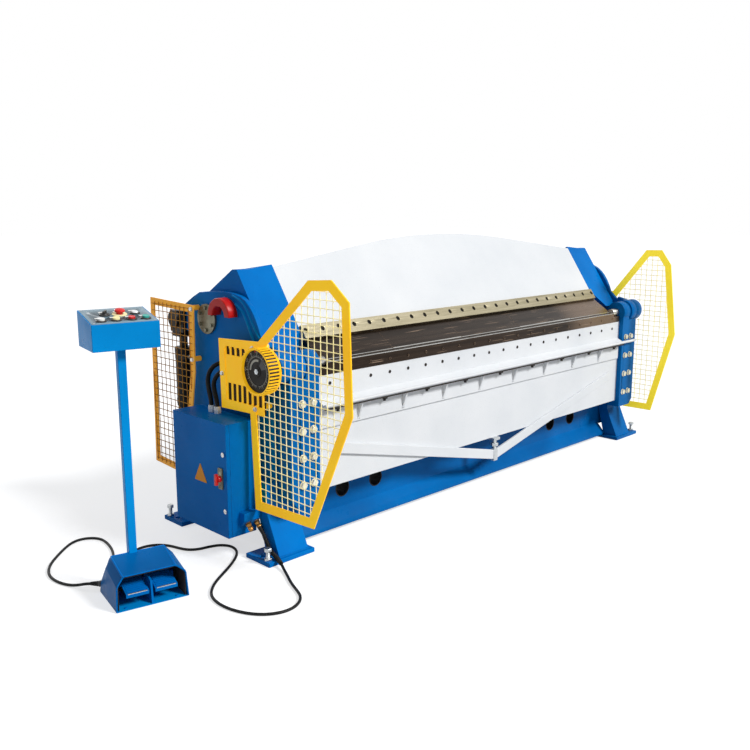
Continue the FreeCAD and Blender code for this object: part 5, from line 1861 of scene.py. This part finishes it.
    def _cylinders(self) -> None:
        """Foot bolts, end rings and caps of the two clamp cylinders."""
        bolts, heads = MeshMaker(), MeshMaker()
        x, y = self.cylinder
        for side in SIDES:
            heads.hoop(mm(side * x, y, 818), UP, [(0, 21.5), (0, 44.2), (6, 44.2), (8.5, 40),
                                                  (8.5, 21.5)])
            heads.band(mm(side * x, y, 552), UP, 40, 43.5, 22)
            heads.band(mm(side * x, y, 770), UP, 40, 43.5, 26)
            for k in range(4):
                a = math.pi * (0.25 + 0.5 * k)
                bolts.bolt(mm(side * x + 39 * math.cos(a), y + 39 * math.sin(a), 500), UP, 9)
        bolts.piece("cylinder_bolts", Finish.ZINC, "frame")
        heads.piece("cylinder_heads", Finish.OXIDE, "frame")


@dataclass
class Seams:
    """Weld beads, pressed ribs and dark pieces that paint the shade behind openings.

    The sizes are in millimetres, apart from edge_back, which is in metres: how far the beads of
    the gusset edges lie behind the outer face of the leg.
    """

    plate_out: float = 1424.0
    leg: Pair = (1311.0, 1472.0)
    edge_back: float = 0.048
    beam_holes: tuple[float, ...] = (-975.0, -754.0, 754.0, 975.0)
    ring_clear: float = 99.0

    def build(self) -> None:
        """Make every piece of this kind."""
        self._frame_beads()
        self._white_beads()
        self._ribs()
        self._painted_shade()

    def _frame_beads(self) -> None:
        """Beads at the feet, the legs, the lugs, the ties and the control post."""
        maker = MeshMaker()
        inner, outer = self.leg
        for side in SIDES:
            for y0, y1 in ((-395, -300), (390, 298)):
                maker.weld([mm(side * x, y, 20) for x, y in (
                    (outer, y0), (outer, y1), (inner, y1), (inner, y0), (outer, y0))], 4.2)
            for y, low, corner in ((-254, 190, -318), (236, 200, 300)):
                maker.weld([mm(side * outer, *p) - RIGHT * side * self.edge_back
                            for p in ((y, low), (y, 330), (corner, 330))], 4.2)
            for radius in (80.5, 43.5):
                turns = [math.radians(a) for a in range(0, 181, 9)]
                maker.weld([mm(side * self.plate_out, -5 + radius * math.cos(a),
                               1018 + radius * math.sin(a)) for a in turns], 3.4)
            for (y0, y1), (z0, z1) in (((200, 290), (430, 560)), ((150, 230), (210, 286))):
                maker.weld([mm(side * 1399.5, y, z) for y, z in (
                    (y0, z0), (y1, z0), (y1, z1), (y0, z1), (y0, z0))], 3.8)
            for y, low, high in ((-60, 332, 758), (-254, 84, 296)):
                maker.weld([mm(side * 1399.5, y, z) for z in (low, high)], 3.8)
            for y in (362, 478):
                maker.weld([mm(side * x, y, 470) for x in (1332, 1398)], 3.4)
        for z in (3, 971):
            maker.weld([POST @ mm(x, y, z) for x, y in (
                (97, 134), (129, 134), (129, 166), (97, 166), (97, 134))], 2.6)
        maker.piece("frame_welds", Finish.WELD, "frame", smooth=60)

    @staticmethod
    def _white_beads() -> None:
        """Beads along the ribs behind the clamping beam and the gussets of the ledge."""
        maker = MeshMaker()
        for x in (-900, -540, -180, 180, 540, 900):
            for dx in (-9, 9):
                maker.weld([mm(x + dx, 61, 902), mm(x + dx, -23, 1200)], 3.2)
        maker.piece("rib_welds", Finish.WHITE, "clamp", smooth=60)
        maker = MeshMaker()
        for k in range(-4, 4):
            for dx in (-5.5, 5.5):
                x = (k + 0.5) * 290 + dx
                maker.weld([mm(x, -408.5, 552), mm(x, -408.5, 637)], 2.4)
        for x in range(-1180, 1181, 236):
            maker.weld([mm(x - 30, -398.5, 545), mm(x + 30, -398.5, 545)], 3)
        maker.piece("gusset_welds", Finish.WHITE, "fold", smooth=60)

    def _ribs(self) -> None:
        """The pressed ribs that follow the arch of each side frame, in a lighter blue that paints
        their highlight.
        """
        maker = MeshMaker()
        ribs = (((-46, 1108), (-104, 1096), (-152, 1054), (-176, 1012), (-214, 958), (-232, 940)),
                ((-70, 1074), (-108, 1058), (-140, 1018), (-166, 968), (-204, 905)))
        for side in SIDES:
            for line, size in zip(ribs, (6, 8)):
                maker.tube(curve_mm([(side * (self.plate_out - 1.5), y, z) for y, z in line]),
                           size, 12)
        maker.piece("arch_ribs", Finish.LIT_BLUE, "frame", smooth=60)

    def _painted_shade(self) -> None:
        """Painted shade: a dark sheet behind the slotted sheet and dark sleeves in the holes of the
        base beam.
        """
        maker = MeshMaker()
        sheet = [(-22, -194), (-312, -194), (-312, 92), (-54, 94)]
        for k in range(15):
            a = math.radians(57 - 137 * k / 14)
            sheet.append((-self.ring_clear * math.cos(a), self.ring_clear * math.sin(a)))
        maker.plate(sheet, [], left_face(-1489, *AXIS), 1.5)
        maker.piece("guard_shade_sheet", Finish.SHADE, "frame")
        maker = MeshMaker()
        for x in self.beam_holes:
            maker.band(mm(x, -253, 182), BACK, 39.2, 43.5, 115)
        maker.piece("web_shade_sleeves", Finish.BLACK, "frame")


def main() -> None:
    """Build the whole scene."""
    logging.basicConfig(level=logging.INFO)
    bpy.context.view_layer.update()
    studio = Studio()
    studio.camera()
    for cable in (Cable("cable_control", "control_cable", CONTROL_ROUTE, 2.29),
                  Cable("cable_pedal", "pedal_cable", PEDAL_ROUTE, 1.285)):
        cable.build()
    studio.light()
    studio.floor()
    bpy.context.scene.view_settings.view_transform = "Standard"
    dress_nodes()
    for part in (*NETS, Fasteners(), Dial(), Console(), FootSwitch(), CableEntries(), Cabinet(),
                 PowerPack(), Seams()):
        part.build()


if __name__ == "__main__":
    main()
